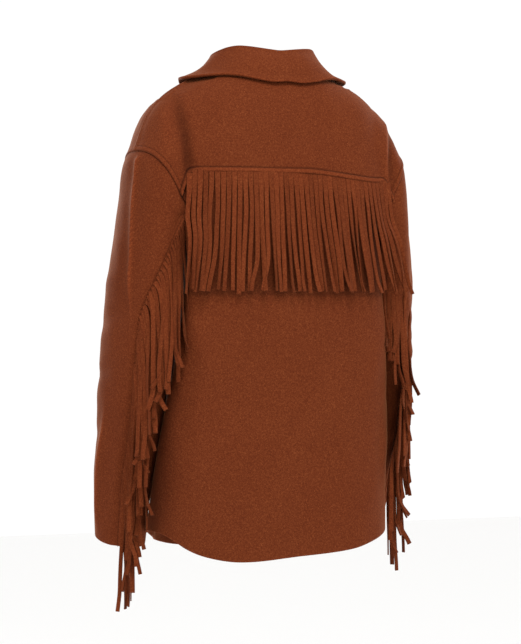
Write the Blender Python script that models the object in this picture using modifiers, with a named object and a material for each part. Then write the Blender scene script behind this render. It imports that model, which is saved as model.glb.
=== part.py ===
"""Wool shirt-jacket with a fringed yoke and fringed sleeves, worn hollow and standing in its own shape.

Metres, +Z up, wearer facing -Y, wearer's left at +X. The origin is the middle of the neck base.
The body and the sleeves are two soft forms given by short tables of level sections. Each cloth piece
is a grid of points on those forms, between its own seams, with its wall lofted inwards.
"""

import math

import bpy
import numpy as np
from mathutils import Vector
from mathutils.bvhtree import BVHTree

# ---------------------------------------------------------------- driving sizes (metres)
WALL = 0.0026           # felted, double-faced wool
SEAM_GAP = 0.00034      # between two pieces at a seam
LAY_GAP = 0.0008        # clearance of a piece that lies on another
ARM_CLEARANCE = 0.007   # sleeve to body below the underarm
FAN_HEIGHT = -0.200     # the body is cut by level rays below this height and by a fan of rays above it
FAN_SCALE = 0.2
UNDERARM_LOW = -0.222   # body and sleeve are separate below this height
UNDERARM_HIGH = -0.186  # and one form above this one
UNDERARM_PUFF = 0.0015

YOKE_SEAM_HEIGHT = -0.145
YOKE_SEAM_DIP = 0.035   # the yoke seam drops this much in the fold between back and arm
YOKE_DIP_FROM = 0.150
YOKE_DIP_TO = 0.171
HEM_SIDE_HEIGHT = -0.655
HEM_DROP = 0.038        # shirt-tail: the centre back and front hang this much lower
HEM_HALF_WIDTH = 0.180
# x, how much higher the back hem hangs there than an even one
BACK_HEM_ROWS = (
    (-0.182, 0.0), (-0.120, 0.007), (-0.070, 0.007), (0.0, 0.004),
    (0.050, -0.001), (0.105, -0.008), (0.150, -0.011), (0.182, 0.0),
)
CUFF_HEIGHT = -0.672
CUFF_TILT = 0.22        # the cuff is square to the forearm, which reaches forward
CUFF_HALF_DEPTH = 0.047

ARMHOLE_TOP = -0.112    # the shoulder point, dropped on to the upper arm
ARMHOLE_DROP = 0.131
ARMHOLE_POWER = 1.3
SHOULDER_LINE_Y = 0.013

NECK_TOP = 0.026        # the body form is cut off here, inside the collar
NECK_CENTRE_Y = 0.006
NECK_HALF_WIDTH = 0.078
NECK_BACK_DEPTH = 0.066
NECK_FRONT_DEPTH = 0.080

FRONT_LAP = 0.017       # each front reaches this far past the centre line
LAP_SINK_START = 0.045  # from here to the centre line the left front sinks under the right one
LAP_GAP = 0.0012

FRINGE_LENGTH = 0.176
BACK_FRINGE_END = -0.313   # height of the tips
YOKE_SEAM_SLOPE = 0.009    # the seam falls this much toward the wearer's right
BACK_FRINGE_THICKNESS = 0.0045
BACK_FRINGE_HALF_WIDTH = 0.154
BACK_FRINGE_LEFT_FLARE = 0.014
BACK_FRINGE_RIGHT_FLARE = 0.035   # over the bulge of the right sleeve
SLEEVE_FRINGE_FIRST_ROOT = -0.206
SLEEVE_FRINGE_LAST_ROOT = -0.600
RIGHT_FRINGE_LAST_ROOT = -0.545   # the right sleeve's fringe ends higher
SLEEVE_FRINGE_THICKNESS = 0.0075
SLEEVE_FRINGE_STAND = 0.0085
SLEEVE_FRINGE_SPREAD = 0.009
FRINGE_LAY_GAP = 0.0030

BUTTON_RADIUS = 0.0105
BUTTON_THICKNESS = 0.0034
BUTTON_TOP = -0.130
BUTTON_PITCH = 0.118
BUTTON_COUNT = 5

# Body sections: z, half_width, back depth, front depth, power of the oval (2 is an ellipse, more is squarer).
BODY_ROWS = (
    (0.030, 0.050, 0.045, 0.030, 2.2),
    (0.012, 0.083, 0.067, 0.040, 2.2),
    (0.000, 0.108, 0.080, 0.049, 2.3),
    (-0.012, 0.133, 0.089, 0.057, 2.4),
    (-0.024, 0.150, 0.096, 0.064, 2.5),
    (-0.042, 0.166, 0.104, 0.073, 2.7),
    (-0.070, 0.176, 0.113, 0.085, 2.9),
    (-0.110, 0.180, 0.120, 0.098, 3.1),
    (-0.150, 0.181, 0.124, 0.108, 3.2),
    (-0.200, 0.181, 0.127, 0.117, 3.2),
    (-0.300, 0.180, 0.129, 0.124, 3.2),
    (-0.420, 0.182, 0.131, 0.127, 3.1),
    (-0.520, 0.183, 0.132, 0.129, 3.0),
    (-0.620, 0.182, 0.133, 0.130, 2.9),
    (-0.760, 0.182, 0.134, 0.131, 2.9),
)

# Sleeve sections: z, centre_x, centre_y, half_width, half_depth. The sleeve is pressed flat by the body.
SLEEVE_ROWS = (
    (-0.050, 0.1530, 0.012, 0.0430, 0.0740),
    (-0.095, 0.1580, 0.014, 0.0430, 0.0760),
    (-0.130, 0.1690, 0.015, 0.0430, 0.0790),
    (-0.165, 0.1740, 0.014, 0.0430, 0.0810),
    (-0.210, 0.1785, 0.009, 0.0435, 0.0815),
    (-0.267, 0.1835, 0.004, 0.0435, 0.0800),
    (-0.313, 0.1875, 0.000, 0.0435, 0.0775),
    (-0.400, 0.1905, -0.009, 0.0430, 0.0730),
    (-0.444, 0.1920, -0.017, 0.0420, 0.0700),
    (-0.524, 0.1930, -0.034, 0.0395, 0.0630),
    (-0.578, 0.1940, -0.048, 0.0370, 0.0575),
    (-0.620, 0.1930, -0.059, 0.0340, 0.0530),
    (-0.690, 0.1890, -0.077, 0.0300, 0.0470),
)
SLEEVE_POWER = 2.15
SLEEVE_CAP_START = -0.120   # above this the sleeve form rounds off
SLEEVE_CAP_HEIGHT = 0.082

# The fringed elbow seam: z, angle round the sleeve, in degrees from the outside (0) to the back (90).
ELBOW_SEAM_ROWS = (
    (-0.200, 115.0),
    (-0.230, 105.0),
    (-0.258, 94.0),
    (-0.290, 82.0),
    (-0.308, 75.0),
    (-0.353, 60.0),
    (-0.420, 60.0),
    (-0.483, 63.0),
    (-0.612, 61.0),
    (-0.690, 60.0),
)
FRONT_SEAM_ANGLE = -116.0   # front seam of the two-piece sleeve, below the armhole

# Collar: direction round the neck (0 centre back, 180 centre front), stand, lean inwards, reach of the fall.
COLLAR_ROWS = (
    (0, 0.027, 0.008, 0.019),
    (45, 0.029, 0.008, 0.030),
    (85, 0.021, 0.008, 0.049),
    (125, 0.013, 0.006, 0.034),
    (160, 0.012, 0.003, 0.020),
    (180, 0.011, 0.002, 0.014),
)
COLLAR_ROLL_RADIUS = 0.0050
COLLAR_END_ANGLE = 176.0
COLLAR_STATIONS = 29

SHOULDER_COLUMNS = 6
NECK_COLUMNS = 10
FRONT_NECK_COLUMNS = 5
ARMHOLE_YOKE_ROWS = 6    # armhole, from the yoke seam up to the shoulder point
ARMHOLE_BACK_ROWS = 5    # from the underarm up to the yoke seam
ARMHOLE_FRONT_ROWS = 11  # from the underarm up to the shoulder point in front
ELBOW_SEAM_ROW = 4       # rows up from the underarm at which the two long sleeve seams meet the armhole
FRONT_SEAM_ROW = 4
SIDE_ROWS = 9
SLEEVE_ROWS_ALONG = 13

WOOL = (0.205, 0.052, 0.018, 1.0)
HORN = (0.060, 0.022, 0.012, 1.0)
UP = np.array([0.0, 0.0, 1.0])
OTHER_SIDE = np.array([-1.0, 1.0, 1.0])


# ---------------------------------------------------------------- tables and forms
def smooth_column(rows, column, at):
    """Monotone cubic reading of one column of a table whose first column is the place."""
    rows = sorted(rows)
    place = np.array([row[0] for row in rows], float)
    value = np.array([row[column] for row in rows], float)
    step = np.diff(place)
    slope = np.diff(value) / step
    same_way = slope[:-1] * slope[1:] > 0
    product = np.where(same_way, slope[:-1] * slope[1:], 0.0)
    total = np.where(same_way, slope[:-1] + slope[1:], 1.0)
    tangent = np.concatenate([[slope[0]], 2.0 * product / total, [slope[-1]]])
    at = np.clip(np.asarray(at, float), place[0], place[-1])
    cell = np.clip(np.searchsorted(place, at) - 1, 0, len(step) - 1)
    t = (at - place[cell]) / step[cell]
    start = value[cell] * (1 + 2 * t) * (1 - t) ** 2 + tangent[cell] * step[cell] * t * (1 - t) ** 2
    end = value[cell + 1] * t * t * (3 - 2 * t) + tangent[cell + 1] * step[cell] * t * t * (t - 1)
    return start + end


def smooth_step(low, high, value):
    t = np.clip((np.asarray(value, float) - low) / (high - low), 0.0, 1.0)
    return t * t * (3 - 2 * t)


def blend_low(a, b, radius):
    """Smooth minimum: the union of two forms with a fillet."""
    t = np.clip(0.5 + 0.5 * (b - a) / radius, 0.0, 1.0)
    return b + (a - b) * t - radius * t * (1 - t)


def blend_high(a, b, radius):
    return -blend_low(-a, -b, radius)


def oval_distance(x, y, half_x, half_y, power):
    """About the distance, in the level plane, from an oval of the given half sizes."""
    u = np.maximum(np.abs(x) / half_x, 1e-6)
    v = np.maximum(np.abs(y) / half_y, 1e-6)
    size = (u ** power + v ** power) ** (1.0 / power)
    slope_x = (u / size) ** (power - 1) / half_x
    slope_y = (v / size) ** (power - 1) / half_y
    return (size - 1.0) / np.hypot(slope_x, slope_y)


def torso(p, pinch=0.0):
    """The body without sleeves. pinch is how far the point is moved out, so how far the side is drawn in."""
    x, y, z = np.abs(p[..., 0]) + pinch, p[..., 1], p[..., 2]
    depth = np.where(y > 0, smooth_column(BODY_ROWS, 2, z), smooth_column(BODY_ROWS, 3, z))
    wall = oval_distance(x, y, smooth_column(BODY_ROWS, 1, z), depth, smooth_column(BODY_ROWS, 4, z))
    return blend_high(wall, z - NECK_TOP, 0.006)


def sleeve_section(z):
    """Centre and half sizes of the sleeve at height z."""
    rise = np.clip((np.asarray(z, float) - SLEEVE_CAP_START) / SLEEVE_CAP_HEIGHT, 0.0, 0.995)
    cap = np.sqrt(1.0 - rise * rise)
    centre_x, centre_y, half_width, half_depth = (smooth_column(SLEEVE_ROWS, k, z) for k in (1, 2, 3, 4))
    return centre_x, centre_y, half_width * cap, half_depth * cap


def arm(p):
    centre_x, centre_y, half_width, half_depth = sleeve_section(p[..., 2])
    across = np.abs(p[..., 0]) - centre_x
    wall = oval_distance(across, p[..., 1] - centre_y, half_width, half_depth, SLEEVE_POWER)
    return blend_high(wall, p[..., 2] - (SLEEVE_CAP_START + SLEEVE_CAP_HEIGHT), 0.004)


def pressed_torso(p):
    """The body with its sides drawn in where the sleeves hang against it."""
    centre_x, centre_y, half_width, half_depth = sleeve_section(p[..., 2])
    deepest = smooth_column(BODY_ROWS, 1, p[..., 2]) - (centre_x - half_width - ARM_CLEARANCE)
    behind = p[..., 1] - centre_y
    from_middle = behind / (np.where(behind > 0, 0.97, 1.12) * half_depth)
    return torso(p, deepest * np.exp(-from_middle ** 4))


def shoulders(p):
    return blend_low(torso(p), arm(p), 0.022)


def under_fringe(p):
    """Body and sleeves with the fold between them bridged, and the sleeve fringe's room on the sleeve."""
    sleeve = arm(p) - 0.018 * smooth_step(-0.205, -0.245, p[..., 2])
    return blend_low(blend_low(pressed_torso(p), sleeve, 0.05), shoulders(p), 0.001)


def joined_share(p):
    """1 where body and sleeves are one form, 0 where the sleeve hangs clear."""
    return smooth_step(UNDERARM_LOW, UNDERARM_HIGH, p[..., 2])


def body_form(p):
    share = joined_share(p)
    return pressed_torso(p) * (1 - share) + np.maximum(shoulders(p), -UNDERARM_PUFF) * share


def sleeve_form(p):
    share = joined_share(p)
    return arm(p) * (1 - share) + np.maximum(shoulders(p), -UNDERARM_PUFF) * share


def cast(start, direction, form, reach=0.34, last_exit=True):
    """Where rays leave a form: found in small steps, then by halving."""
    steps = np.linspace(0.0, reach, 86)
    inside = np.stack([form(start + direction * s) < 0 for s in steps])
    if last_exit:
        found = len(steps) - 1 - np.argmax(inside[::-1], axis=0)
    else:
        found = np.maximum(np.argmin(inside, axis=0) - 1, 0)
    low = steps[found]
    high = steps[np.minimum(found + 1, len(steps) - 1)]
    for _ in range(22):
        middle = (low + high) / 2
        within = form(start + direction * middle[..., None]) < 0
        low = np.where(within, middle, low)
        high = np.where(within, high, middle)
    return start + direction * ((low + high) / 2)[..., None]


def unit(vectors):
    return vectors / np.maximum(np.linalg.norm(vectors, axis=-1, keepdims=True), 1e-9)


def normals_of(points, form):
    size = 0.0015
    return unit(np.stack([form(points + size * a) - form(points - size * a) for a in np.eye(3)], axis=-1))


# ---------------------------------------------------------------- lines and patches
def to_fan(points):
    """Angle round the body, and rise: the height below FAN_HEIGHT, the tilt of the ray above it."""
    above = points[..., 2] - FAN_HEIGHT
    tilt = np.arctan2(above, np.hypot(points[..., 0], points[..., 1])) * FAN_SCALE
    return np.stack([np.arctan2(points[..., 1], points[..., 0]), np.where(above > 0, tilt, above)], axis=-1)


def from_fan(fan, form=body_form):
    angle, rise = fan[..., 0], fan[..., 1]
    tilt = np.maximum(rise, 0.0) / FAN_SCALE
    start = np.stack([0 * angle, 0 * angle, FAN_HEIGHT + np.minimum(rise, 0.0)], axis=-1)
    level = np.cos(tilt)
    return cast(start, np.stack([np.cos(angle) * level, np.sin(angle) * level, np.sin(tilt)], axis=-1), form)


def spread(points, count):
    """The same line with evenly spaced points."""
    length = np.concatenate([[0.0], np.cumsum(np.linalg.norm(np.diff(points, axis=0), axis=1))])
    at = np.linspace(0.0, length[-1], count)
    return np.stack([np.interp(at, length, points[:, k]) for k in range(points.shape[1])], axis=1)


def join(*lines):
    return np.concatenate([lines[0]] + [line[1:] for line in lines[1:]])


def fill(bottom, top, left, right):
    """Coons patch: rows from bottom to top, columns from left to right."""
    v = np.linspace(0, 1, len(left))[:, None, None]
    u = np.linspace(0, 1, len(bottom))[None, :, None]
    ruled = (1 - v) * bottom[None] + v * top[None] + (1 - u) * left[:, None] + u * right[:, None]
    return ruled - (
        (1 - u) * (1 - v) * bottom[0] + u * (1 - v) * bottom[-1] + (1 - u) * v * top[0] + u * v * top[-1]
    )


def even_out(grid, rounds=260):
    """Winslow smoothing of a flat grid: the border stays and no cell folds over another."""
    for _ in range(rounds):
        north, south, east, west = grid[2:, 1:-1], grid[:-2, 1:-1], grid[1:-1, 2:], grid[1:-1, :-2]
        up, over = (north - south) / 2, (east - west) / 2
        a, b, c = (np.sum(m * n, axis=-1, keepdims=True) for m, n in ((up, up), (over, up), (over, over)))
        corners = grid[2:, 2:] - grid[:-2, 2:] - grid[2:, :-2] + grid[:-2, :-2]
        better = (a * (east + west) + c * (north + south) - b / 2 * corners) / (2 * (a + c))
        grid[1:-1, 1:-1] = 0.4 * grid[1:-1, 1:-1] + 0.6 * better
    return grid


def keep_edges(grid, bottom, top, left, right, reach=3.0):
    """Moves a grid so that its border lies on the given lines, the change dying away inwards."""
    v = np.linspace(0, 1, grid.shape[0])[:, None, None]
    u = np.linspace(0, 1, grid.shape[1])[None, :, None]
    grid = grid + (top - grid[-1])[None] * np.clip(1 - (1 - v) * reach, 0, 1) ** 2
    grid = grid + (bottom - grid[0])[None] * np.clip(1 - v * reach, 0, 1) ** 2
    grid = grid + (right - grid[:, -1])[:, None] * np.clip(1 - (1 - u) * reach, 0, 1) ** 2
    return grid + (left - grid[:, 0])[:, None] * np.clip(1 - u * reach, 0, 1) ** 2


def body_patch(bottom, top, left, right):
    scale = np.array([0.15, 1.0])   # so that a step of either kind is about a metre on the body
    lines = [to_fan(line) for line in (bottom, top, left, right)]
    for line in lines:
        line[:, 0] = np.unwrap(line[:, 0])
    flat = even_out(fill(*(line * scale for line in lines))) / scale
    return keep_edges(from_fan(flat), bottom, top, left, right)


# ---------------------------------------------------------------- seam lines, on the wearer's left
def armhole_height(turn):
    """Height of the armhole seam at an angle round the sleeve, 0 outside, 180 at the underarm."""
    share = (1 - np.cos(np.radians(turn))) / 2
    return ARMHOLE_TOP - ARMHOLE_DROP * share ** ARMHOLE_POWER


def round_sleeve(turn, height, form):
    """Points at an angle round the sleeve and a height, on the given form."""
    centre_x, centre_y, half_width, half_depth = sleeve_section(height)
    turn = np.radians(turn)
    direction = unit(np.stack([half_width * np.cos(turn), half_depth * np.sin(turn), 0 * turn], axis=-1))
    start = np.stack([centre_x + 0 * turn, centre_y + 0 * turn, height + 0 * turn], axis=-1)
    return cast(start, direction, form, reach=0.13, last_exit=False)


def armhole(turn):
    turn = np.asarray(turn, float)
    height = armhole_height(turn)
    hanging = round_sleeve(turn, height, lambda p: arm(p) - ARM_CLEARANCE / 2)
    joined = round_sleeve(turn, height, shoulders)
    gap = joined - hanging
    far = np.linalg.norm(gap, axis=-1, keepdims=True)
    joined = hanging + gap * np.minimum(1.0, 0.03 / np.maximum(far, 1e-6))
    share = joined_share(hanging)[..., None]
    return hanging * (1 - share) + joined * share


def armhole_turns(start, end, count):
    """Angles round the sleeve that space the armhole seam evenly."""
    turns = np.linspace(start, end, 121)
    length = np.concatenate([[0.0], np.cumsum(np.linalg.norm(np.diff(armhole(turns), axis=0), axis=1))])
    return np.interp(np.linspace(0.0, length[-1], count + 1), length, turns)


def yoke_end_turn():
    """The angle round the sleeve at which the yoke seam meets the armhole."""
    turns = np.linspace(60, 140, 801)
    return float(turns[np.argmin(np.abs(YOKE_SEAM_HEIGHT - YOKE_SEAM_DIP - armhole_height(turns)))])


def elbow_turn(height):
    return smooth_column(ELBOW_SEAM_ROWS, 1, height)


def seen_level(x, z, back, form=body_form):
    """Points of the body seen from behind, or from in front, at a place across and a height."""
    x, z = np.broadcast_arrays(np.asarray(x, float), np.asarray(z, float))
    direction = np.broadcast_to(np.array([0.0, 1.0 if back else -1.0, 0.0]), x.shape + (3,))
    return cast(np.stack([x, 0 * x, z], axis=-1), direction, form, reach=0.2)


def seen_from_above(x, y):
    start = np.stack([x, y, 0 * x - 0.17], axis=-1)
    return cast(start, np.broadcast_to(UP, start.shape), shoulders, reach=0.21)


def yoke_drop(x):
    """Height of the yoke seam across the back: down into the fold at each end, lower on the wearer's right."""
    fold = smooth_step(YOKE_DIP_FROM, YOKE_DIP_TO, np.abs(x))
    slope = smooth_step(0.01, 0.13, -x) * (1 - fold)
    return YOKE_SEAM_HEIGHT - YOKE_SEAM_DIP * fold - YOKE_SEAM_SLOPE * slope


def yoke_seam(count):
    end = armhole(YOKE_TURNS)[0]
    x = np.linspace(-end[0], end[0], 161)
    line = seen_level(x, yoke_drop(x), True)
    line[0], line[-1] = end * OTHER_SIDE, end
    return spread(line, count)


def neck_line(angle):
    """Neckline: 0 at the centre back, 90 at the wearer's left shoulder, 180 at the centre front."""
    turn = np.radians(np.asarray(angle, float))
    depth = np.where(np.cos(turn) > 0, NECK_BACK_DEPTH, NECK_FRONT_DEPTH)
    return seen_from_above(NECK_HALF_WIDTH * np.sin(turn), NECK_CENTRE_Y + depth * np.cos(turn))


def shoulder_seam(count):
    """From the armhole up to the neck."""
    centre = np.array([0.100, SHOULDER_LINE_Y, -0.130])
    low, high = armhole(np.array([0.0]))[0], neck_line(np.array([90.0]))[0]
    tilt = np.linspace(*(math.atan2(p[2] - centre[2], p[0] - centre[0]) for p in (low, high)), 60)
    direction = np.stack([np.cos(tilt), 0 * tilt, np.sin(tilt)], axis=-1)
    line = cast(np.broadcast_to(centre, direction.shape), direction, shoulders, reach=0.2)
    share = np.linspace(0, 1, len(line))[:, None]
    return spread(line + (low - line[0]) * (1 - share) ** 2 + (high - line[-1]) * share ** 2, count)


def hem_height(x, back=False):
    even = HEM_SIDE_HEIGHT - HEM_DROP * (1 - np.clip(np.abs(x) / HEM_HALF_WIDTH, 0, 1) ** 3)
    return even + (smooth_column(BACK_HEM_ROWS, 1, x) if back else 0.0)


def hem(from_angle, to_angle, count):
    """Hem between two directions round the body, measured from the wearer's left."""
    angle = np.radians(np.linspace(from_angle, to_angle, 121))
    height = np.full(angle.shape, HEM_SIDE_HEIGHT)
    for _ in range(4):
        line = from_fan(np.stack([angle, height - FAN_HEIGHT], axis=-1))
        height = hem_height(line[:, 0], from_angle == 180)
    return spread(line, count)


def side_seam(count):
    """From the hem up to the underarm."""
    top = armhole(np.array([180.0]))[0]
    low = hem(0.1, -0.1, 3)[1]
    height = np.linspace(low[2], top[2], 60)
    line = from_fan(np.stack([0 * height, height - FAN_HEIGHT], axis=-1))
    share = np.linspace(0, 1, len(line))[:, None]
    return spread(line + (top - line[-1]) * np.clip(4 * share - 3, 0, 1) ** 2, count)


YOKE_TURNS = armhole_turns(yoke_end_turn(), 0.0, ARMHOLE_YOKE_ROWS)
BACK_TURNS = armhole_turns(180.0, yoke_end_turn(), ARMHOLE_BACK_ROWS)
FRONT_TURNS = armhole_turns(-180.0, 0.0, ARMHOLE_FRONT_ROWS)


# ---------------------------------------------------------------- cloth pieces as grids, rows going up
def yoke_grid():
    columns = 2 * SHOULDER_COLUMNS + NECK_COLUMNS + 1
    shoulder = shoulder_seam(SHOULDER_COLUMNS + 1)
    neck = spread(neck_line(np.linspace(90, -90, 91)), NECK_COLUMNS + 1)
    top = join(shoulder, neck, (shoulder * OTHER_SIDE)[::-1])[::-1]
    right = armhole(YOKE_TURNS)
    return body_patch(yoke_seam(columns), top, right * OTHER_SIDE, right)


def back_grid():
    columns = 2 * SHOULDER_COLUMNS + NECK_COLUMNS + 1
    right = join(side_seam(SIDE_ROWS + 1), armhole(BACK_TURNS))
    bottom = hem(180, 0, columns)
    bottom[0], bottom[-1] = right[0] * OTHER_SIDE, right[0]
    return body_patch(bottom, yoke_seam(columns), right * OTHER_SIDE, right)


def front_grid():
    """The wearer's left front, past the centre line by the lap."""
    last = 180.0 + math.degrees(math.asin(FRONT_LAP / NECK_HALF_WIDTH))
    neck = spread(neck_line(np.linspace(90, last, 91)), FRONT_NECK_COLUMNS + 1)
    top = join(shoulder_seam(SHOULDER_COLUMNS + 1), neck)
    outer = join(side_seam(SIDE_ROWS + 1), armhole(FRONT_TURNS))
    inner = seen_level(-FRONT_LAP, np.linspace(hem_height(FRONT_LAP), neck[-1][2], 60), False)
    inner[-1] = neck[-1]
    inner = spread(inner, len(outer))
    bottom = hem(0, math.degrees(math.atan2(inner[0][1], inner[0][0])), len(top))
    bottom[0], bottom[-1] = outer[0], inner[0]
    return body_patch(bottom, top, outer, inner)


def sleeve_grids():
    """The left sleeve's upper and under piece. Their columns start at the points of the armhole seam."""
    around = np.concatenate([FRONT_TURNS[FRONT_SEAM_ROW:], YOKE_TURNS[-2::-1], BACK_TURNS[-2::-1]])
    around = np.concatenate([around, 360 + FRONT_TURNS[1 : FRONT_SEAM_ROW + 1]])
    elbow_column = len(around) - 1 - FRONT_SEAM_ROW - ELBOW_SEAM_ROW
    share = np.linspace(0, 1, SLEEVE_ROWS_ALONG + 1)[:, None]
    front = FRONT_SEAM_ANGLE + (around[0] - FRONT_SEAM_ANGLE) * np.clip(4 * share - 3, 0, 1) ** 2
    upper = (around[: elbow_column + 1] - around[0]) / (around[elbow_column] - around[0])
    under = (around[elbow_column:] - around[elbow_column]) / (around[-1] - around[elbow_column])
    elbow = np.full(share.shape, 60.0)
    for _ in range(6):
        turn = np.concatenate([front + (elbow - front) * upper, elbow + (360 + front - elbow) * under[1:]], axis=1)
        cuff = CUFF_HEIGHT - CUFF_TILT * CUFF_HALF_DEPTH * np.sin(np.radians(turn))
        height = cuff * (1 - share) + armhole_height(around) * share
        elbow = elbow_turn(height[:, elbow_column])[:, None]
        elbow[-1] = around[elbow_column]
    grid = round_sleeve(turn, height, sleeve_form)
    grid = grid + (armhole(around) - grid[-1])[None] * np.clip(3.2 * share[:, :, None] - 2.2, 0, 1) ** 2
    return grid[:, : elbow_column + 1], grid[:, elbow_column:]


def collar_grid():
    """Rows from the neck seam over the soft roll to the falling edge."""
    angles = np.linspace(-COLLAR_END_ANGLE, COLLAR_END_ANGLE, COLLAR_STATIONS)
    turn = np.abs(angles)
    seam = neck_line(turn)
    seam[:, 0] *= np.where(angles < 0, -1.0, 1.0)
    outward = unit((seam - np.array([0.0, NECK_CENTRE_Y, 0.0])) * (1, 1, 0))
    stand, lean, reach = (smooth_column(COLLAR_ROWS, k, turn)[:, None] for k in (1, 2, 3))
    base = seam + normals_of(seam, shoulders) * 0.0005 + UP * 0.0012 - outward * 0.0006
    top = base - outward * lean + UP * (stand - COLLAR_ROLL_RADIUS)
    edge = base + outward * reach
    edge = seen_from_above(edge[:, 0], edge[:, 1])
    edge = edge + normals_of(edge, shoulders) * (WALL + 2 * LAY_GAP)
    rows = [base, base - outward * lean * 0.75 + UP * stand * 0.5]
    for tilt in np.radians([180, 120, 60, 0]):
        across = COLLAR_ROLL_RADIUS * (1 + math.cos(tilt))
        rows.append(top + outward * across + UP * COLLAR_ROLL_RADIUS * math.sin(tilt))
    rolled = rows[-1]
    full = 1 - 2 * smooth_step(20, 70, turn)[:, None]
    for share in (0.3, 0.6, 0.82, 1.0):
        belly = math.sin(math.pi * share) * (outward * 0.0035 + UP * 0.004) * full
        row = rolled * (1 - share) + edge * share + belly
        beneath = seen_from_above(row[:, 0], row[:, 1])
        level = np.clip(normals_of(beneath, shoulders)[:, 2], 0.35, 1.0)
        row[:, 2] = np.maximum(row[:, 2], beneath[:, 2] + (WALL + 3 * LAY_GAP) / level)
        rows.append(row)
    return np.stack(rows)


# ---------------------------------------------------------------- solids
def material(name, colour, roughness):
    made = bpy.data.materials.new(name)
    made.use_nodes = True
    shader = made.node_tree.nodes["Principled BSDF"]
    shader.inputs["Base Color"].default_value = colour
    shader.inputs["Roughness"].default_value = roughness
    shader.inputs["Metallic"].default_value = 0.0
    return made


def add_mesh(name, points, faces, colour=WOOL, roughness=0.95):
    mesh = bpy.data.meshes.new(name)
    mesh.from_pydata([tuple(p) for p in points], [], faces)
    mesh.validate()
    mesh.shade_smooth()
    mesh.set_sharp_from_angle(angle=math.radians(40))
    mesh.materials.append(material(name, colour, roughness))
    made = bpy.data.objects.new(name, mesh)
    PARTS.objects.link(made)
    return made


def loft_wall(name, outer, inner, flip):
    """Closed wall between two grids of the same rows and columns. flip turns a mirrored piece right side out."""
    rows, columns = outer.shape[:2]
    count = rows * columns
    faces = []
    for r in range(rows - 1):
        for c in range(columns - 1):
            a, b, d, e = (k + r * columns + c for k in (0, 1, columns, columns + 1))
            level = np.linalg.norm(outer[r, c] - outer[r + 1, c + 1]) < np.linalg.norm(outer[r, c + 1] - outer[r + 1, c])
            for face in ((a, b, e), (a, e, d)) if level else ((a, b, d), (b, e, d)):
                faces.append(face)
                faces.append(tuple(i + count for i in face[::-1]))
    border = [c for c in range(columns)]
    border += [r * columns + columns - 1 for r in range(1, rows)]
    border += [(rows - 1) * columns + c for c in range(columns - 2, -1, -1)]
    border += [r * columns for r in range(rows - 2, 0, -1)]
    points = np.concatenate([outer.reshape(-1, 3), inner.reshape(-1, 3)])
    for a, b in zip(border, border[1:] + border[:1]):
        d, e = a + count, b + count
        if np.linalg.norm(points[a] - points[e]) < np.linalg.norm(points[b] - points[d]):
            faces += [(a, d, e), (a, e, b)]
        else:
            faces += [(a, d, b), (b, d, e)]
    if flip:
        faces = [face[::-1] for face in faces]
    return add_mesh(name, points, faces)


def drawn_in(grid):
    """How far each border point moves in, square to its seam, to leave the seam gap."""
    move = np.zeros_like(grid)
    whole = slice(None)
    for edge, inner in (((0, whole), (1, whole)), ((-1, whole), (-2, whole)),
                        ((whole, 0), (whole, 1)), ((whole, -1), (whole, -2))):
        along = unit(np.gradient(grid[edge], axis=0))
        inward = grid[inner] - grid[edge]
        inward = inward - along * np.sum(inward * along, axis=-1, keepdims=True)
        move[edge] += unit(inward) * SEAM_GAP / 2
    return move


def add_cloth(name, grid, form, flip, sink=0.0):
    normal = normals_of(grid, form)
    grid = grid + drawn_in(grid) - normal * (SEAM_GAP / 2 + sink)
    return loft_wall(name, grid, grid - normal * WALL, flip)


def add_body():
    add_cloth("back_yoke", yoke_grid(), body_form, True)
    add_cloth("back_panel", back_grid(), body_form, True)
    front = front_grid()
    under = smooth_step(-LAP_SINK_START, -FRONT_LAP, -front[..., 0])[..., None] * (WALL + LAP_GAP)
    add_cloth("front_left", front, body_form, True, under)
    add_cloth("front_right", front * OTHER_SIDE, body_form, False)


def add_sleeves():
    for part, piece in zip(("top", "under"), sleeve_grids()):
        add_cloth(f"sleeve_left_{part}", piece, sleeve_form, False)
        add_cloth(f"sleeve_right_{part}", piece * OTHER_SIDE, sleeve_form, True)


def add_collar():
    grid = collar_grid()
    along = unit(np.gradient(grid, axis=1))
    up = unit(np.gradient(grid, axis=0))
    inside = unit(np.cross(up, along))
    loft_wall("collar", grid, grid + inside * WALL, False)


def laid_over(points, toward, names, gap):
    """Points moved against a direction until they lie at least a gap above the named pieces."""
    graph = bpy.context.evaluated_depsgraph_get()
    for name in names:
        tree = BVHTree.FromObject(bpy.data.objects[name], graph)
        for place, way in zip(points.reshape(-1, 3), toward.reshape(-1, 3)):
            hit = tree.ray_cast(Vector(place - 0.05 * way), Vector(way), 0.12)[0]
            if hit is not None:
                place -= way * max(0.0, gap - float(np.dot(np.array(hit) - place, way)))
    return points


def add_back_fringe():
    """The room that the hanging strips of the yoke fringe fill, following the back."""
    share = np.linspace(0, 1, 11)[:, None]
    across = np.linspace(0, 1, 24)[None, :]
    left = BACK_FRINGE_HALF_WIDTH + BACK_FRINGE_LEFT_FLARE * share
    right = -BACK_FRINGE_HALF_WIDTH - BACK_FRINGE_RIGHT_FLARE * share
    x = right * (1 - across) + left * across
    top = yoke_drop(x) - 0.002
    bottom = BACK_FRINGE_END
    grid = seen_level(x, top * (1 - share) + bottom * share, True, under_fringe)
    normal = normals_of(grid, under_fringe)
    beneath = [f"sleeve_{side}_{part}" for side in ("left", "right") for part in ("top", "under")]
    beneath += ["back_panel", "sleeve_fringe_left", "sleeve_fringe_right"]
    inner = laid_over(grid, np.broadcast_to([0.0, -1.0, 0.0], grid.shape), beneath, FRINGE_LAY_GAP)
    loft_wall("back_fringe", inner + normal * BACK_FRINGE_THICKNESS, inner, False)


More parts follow.
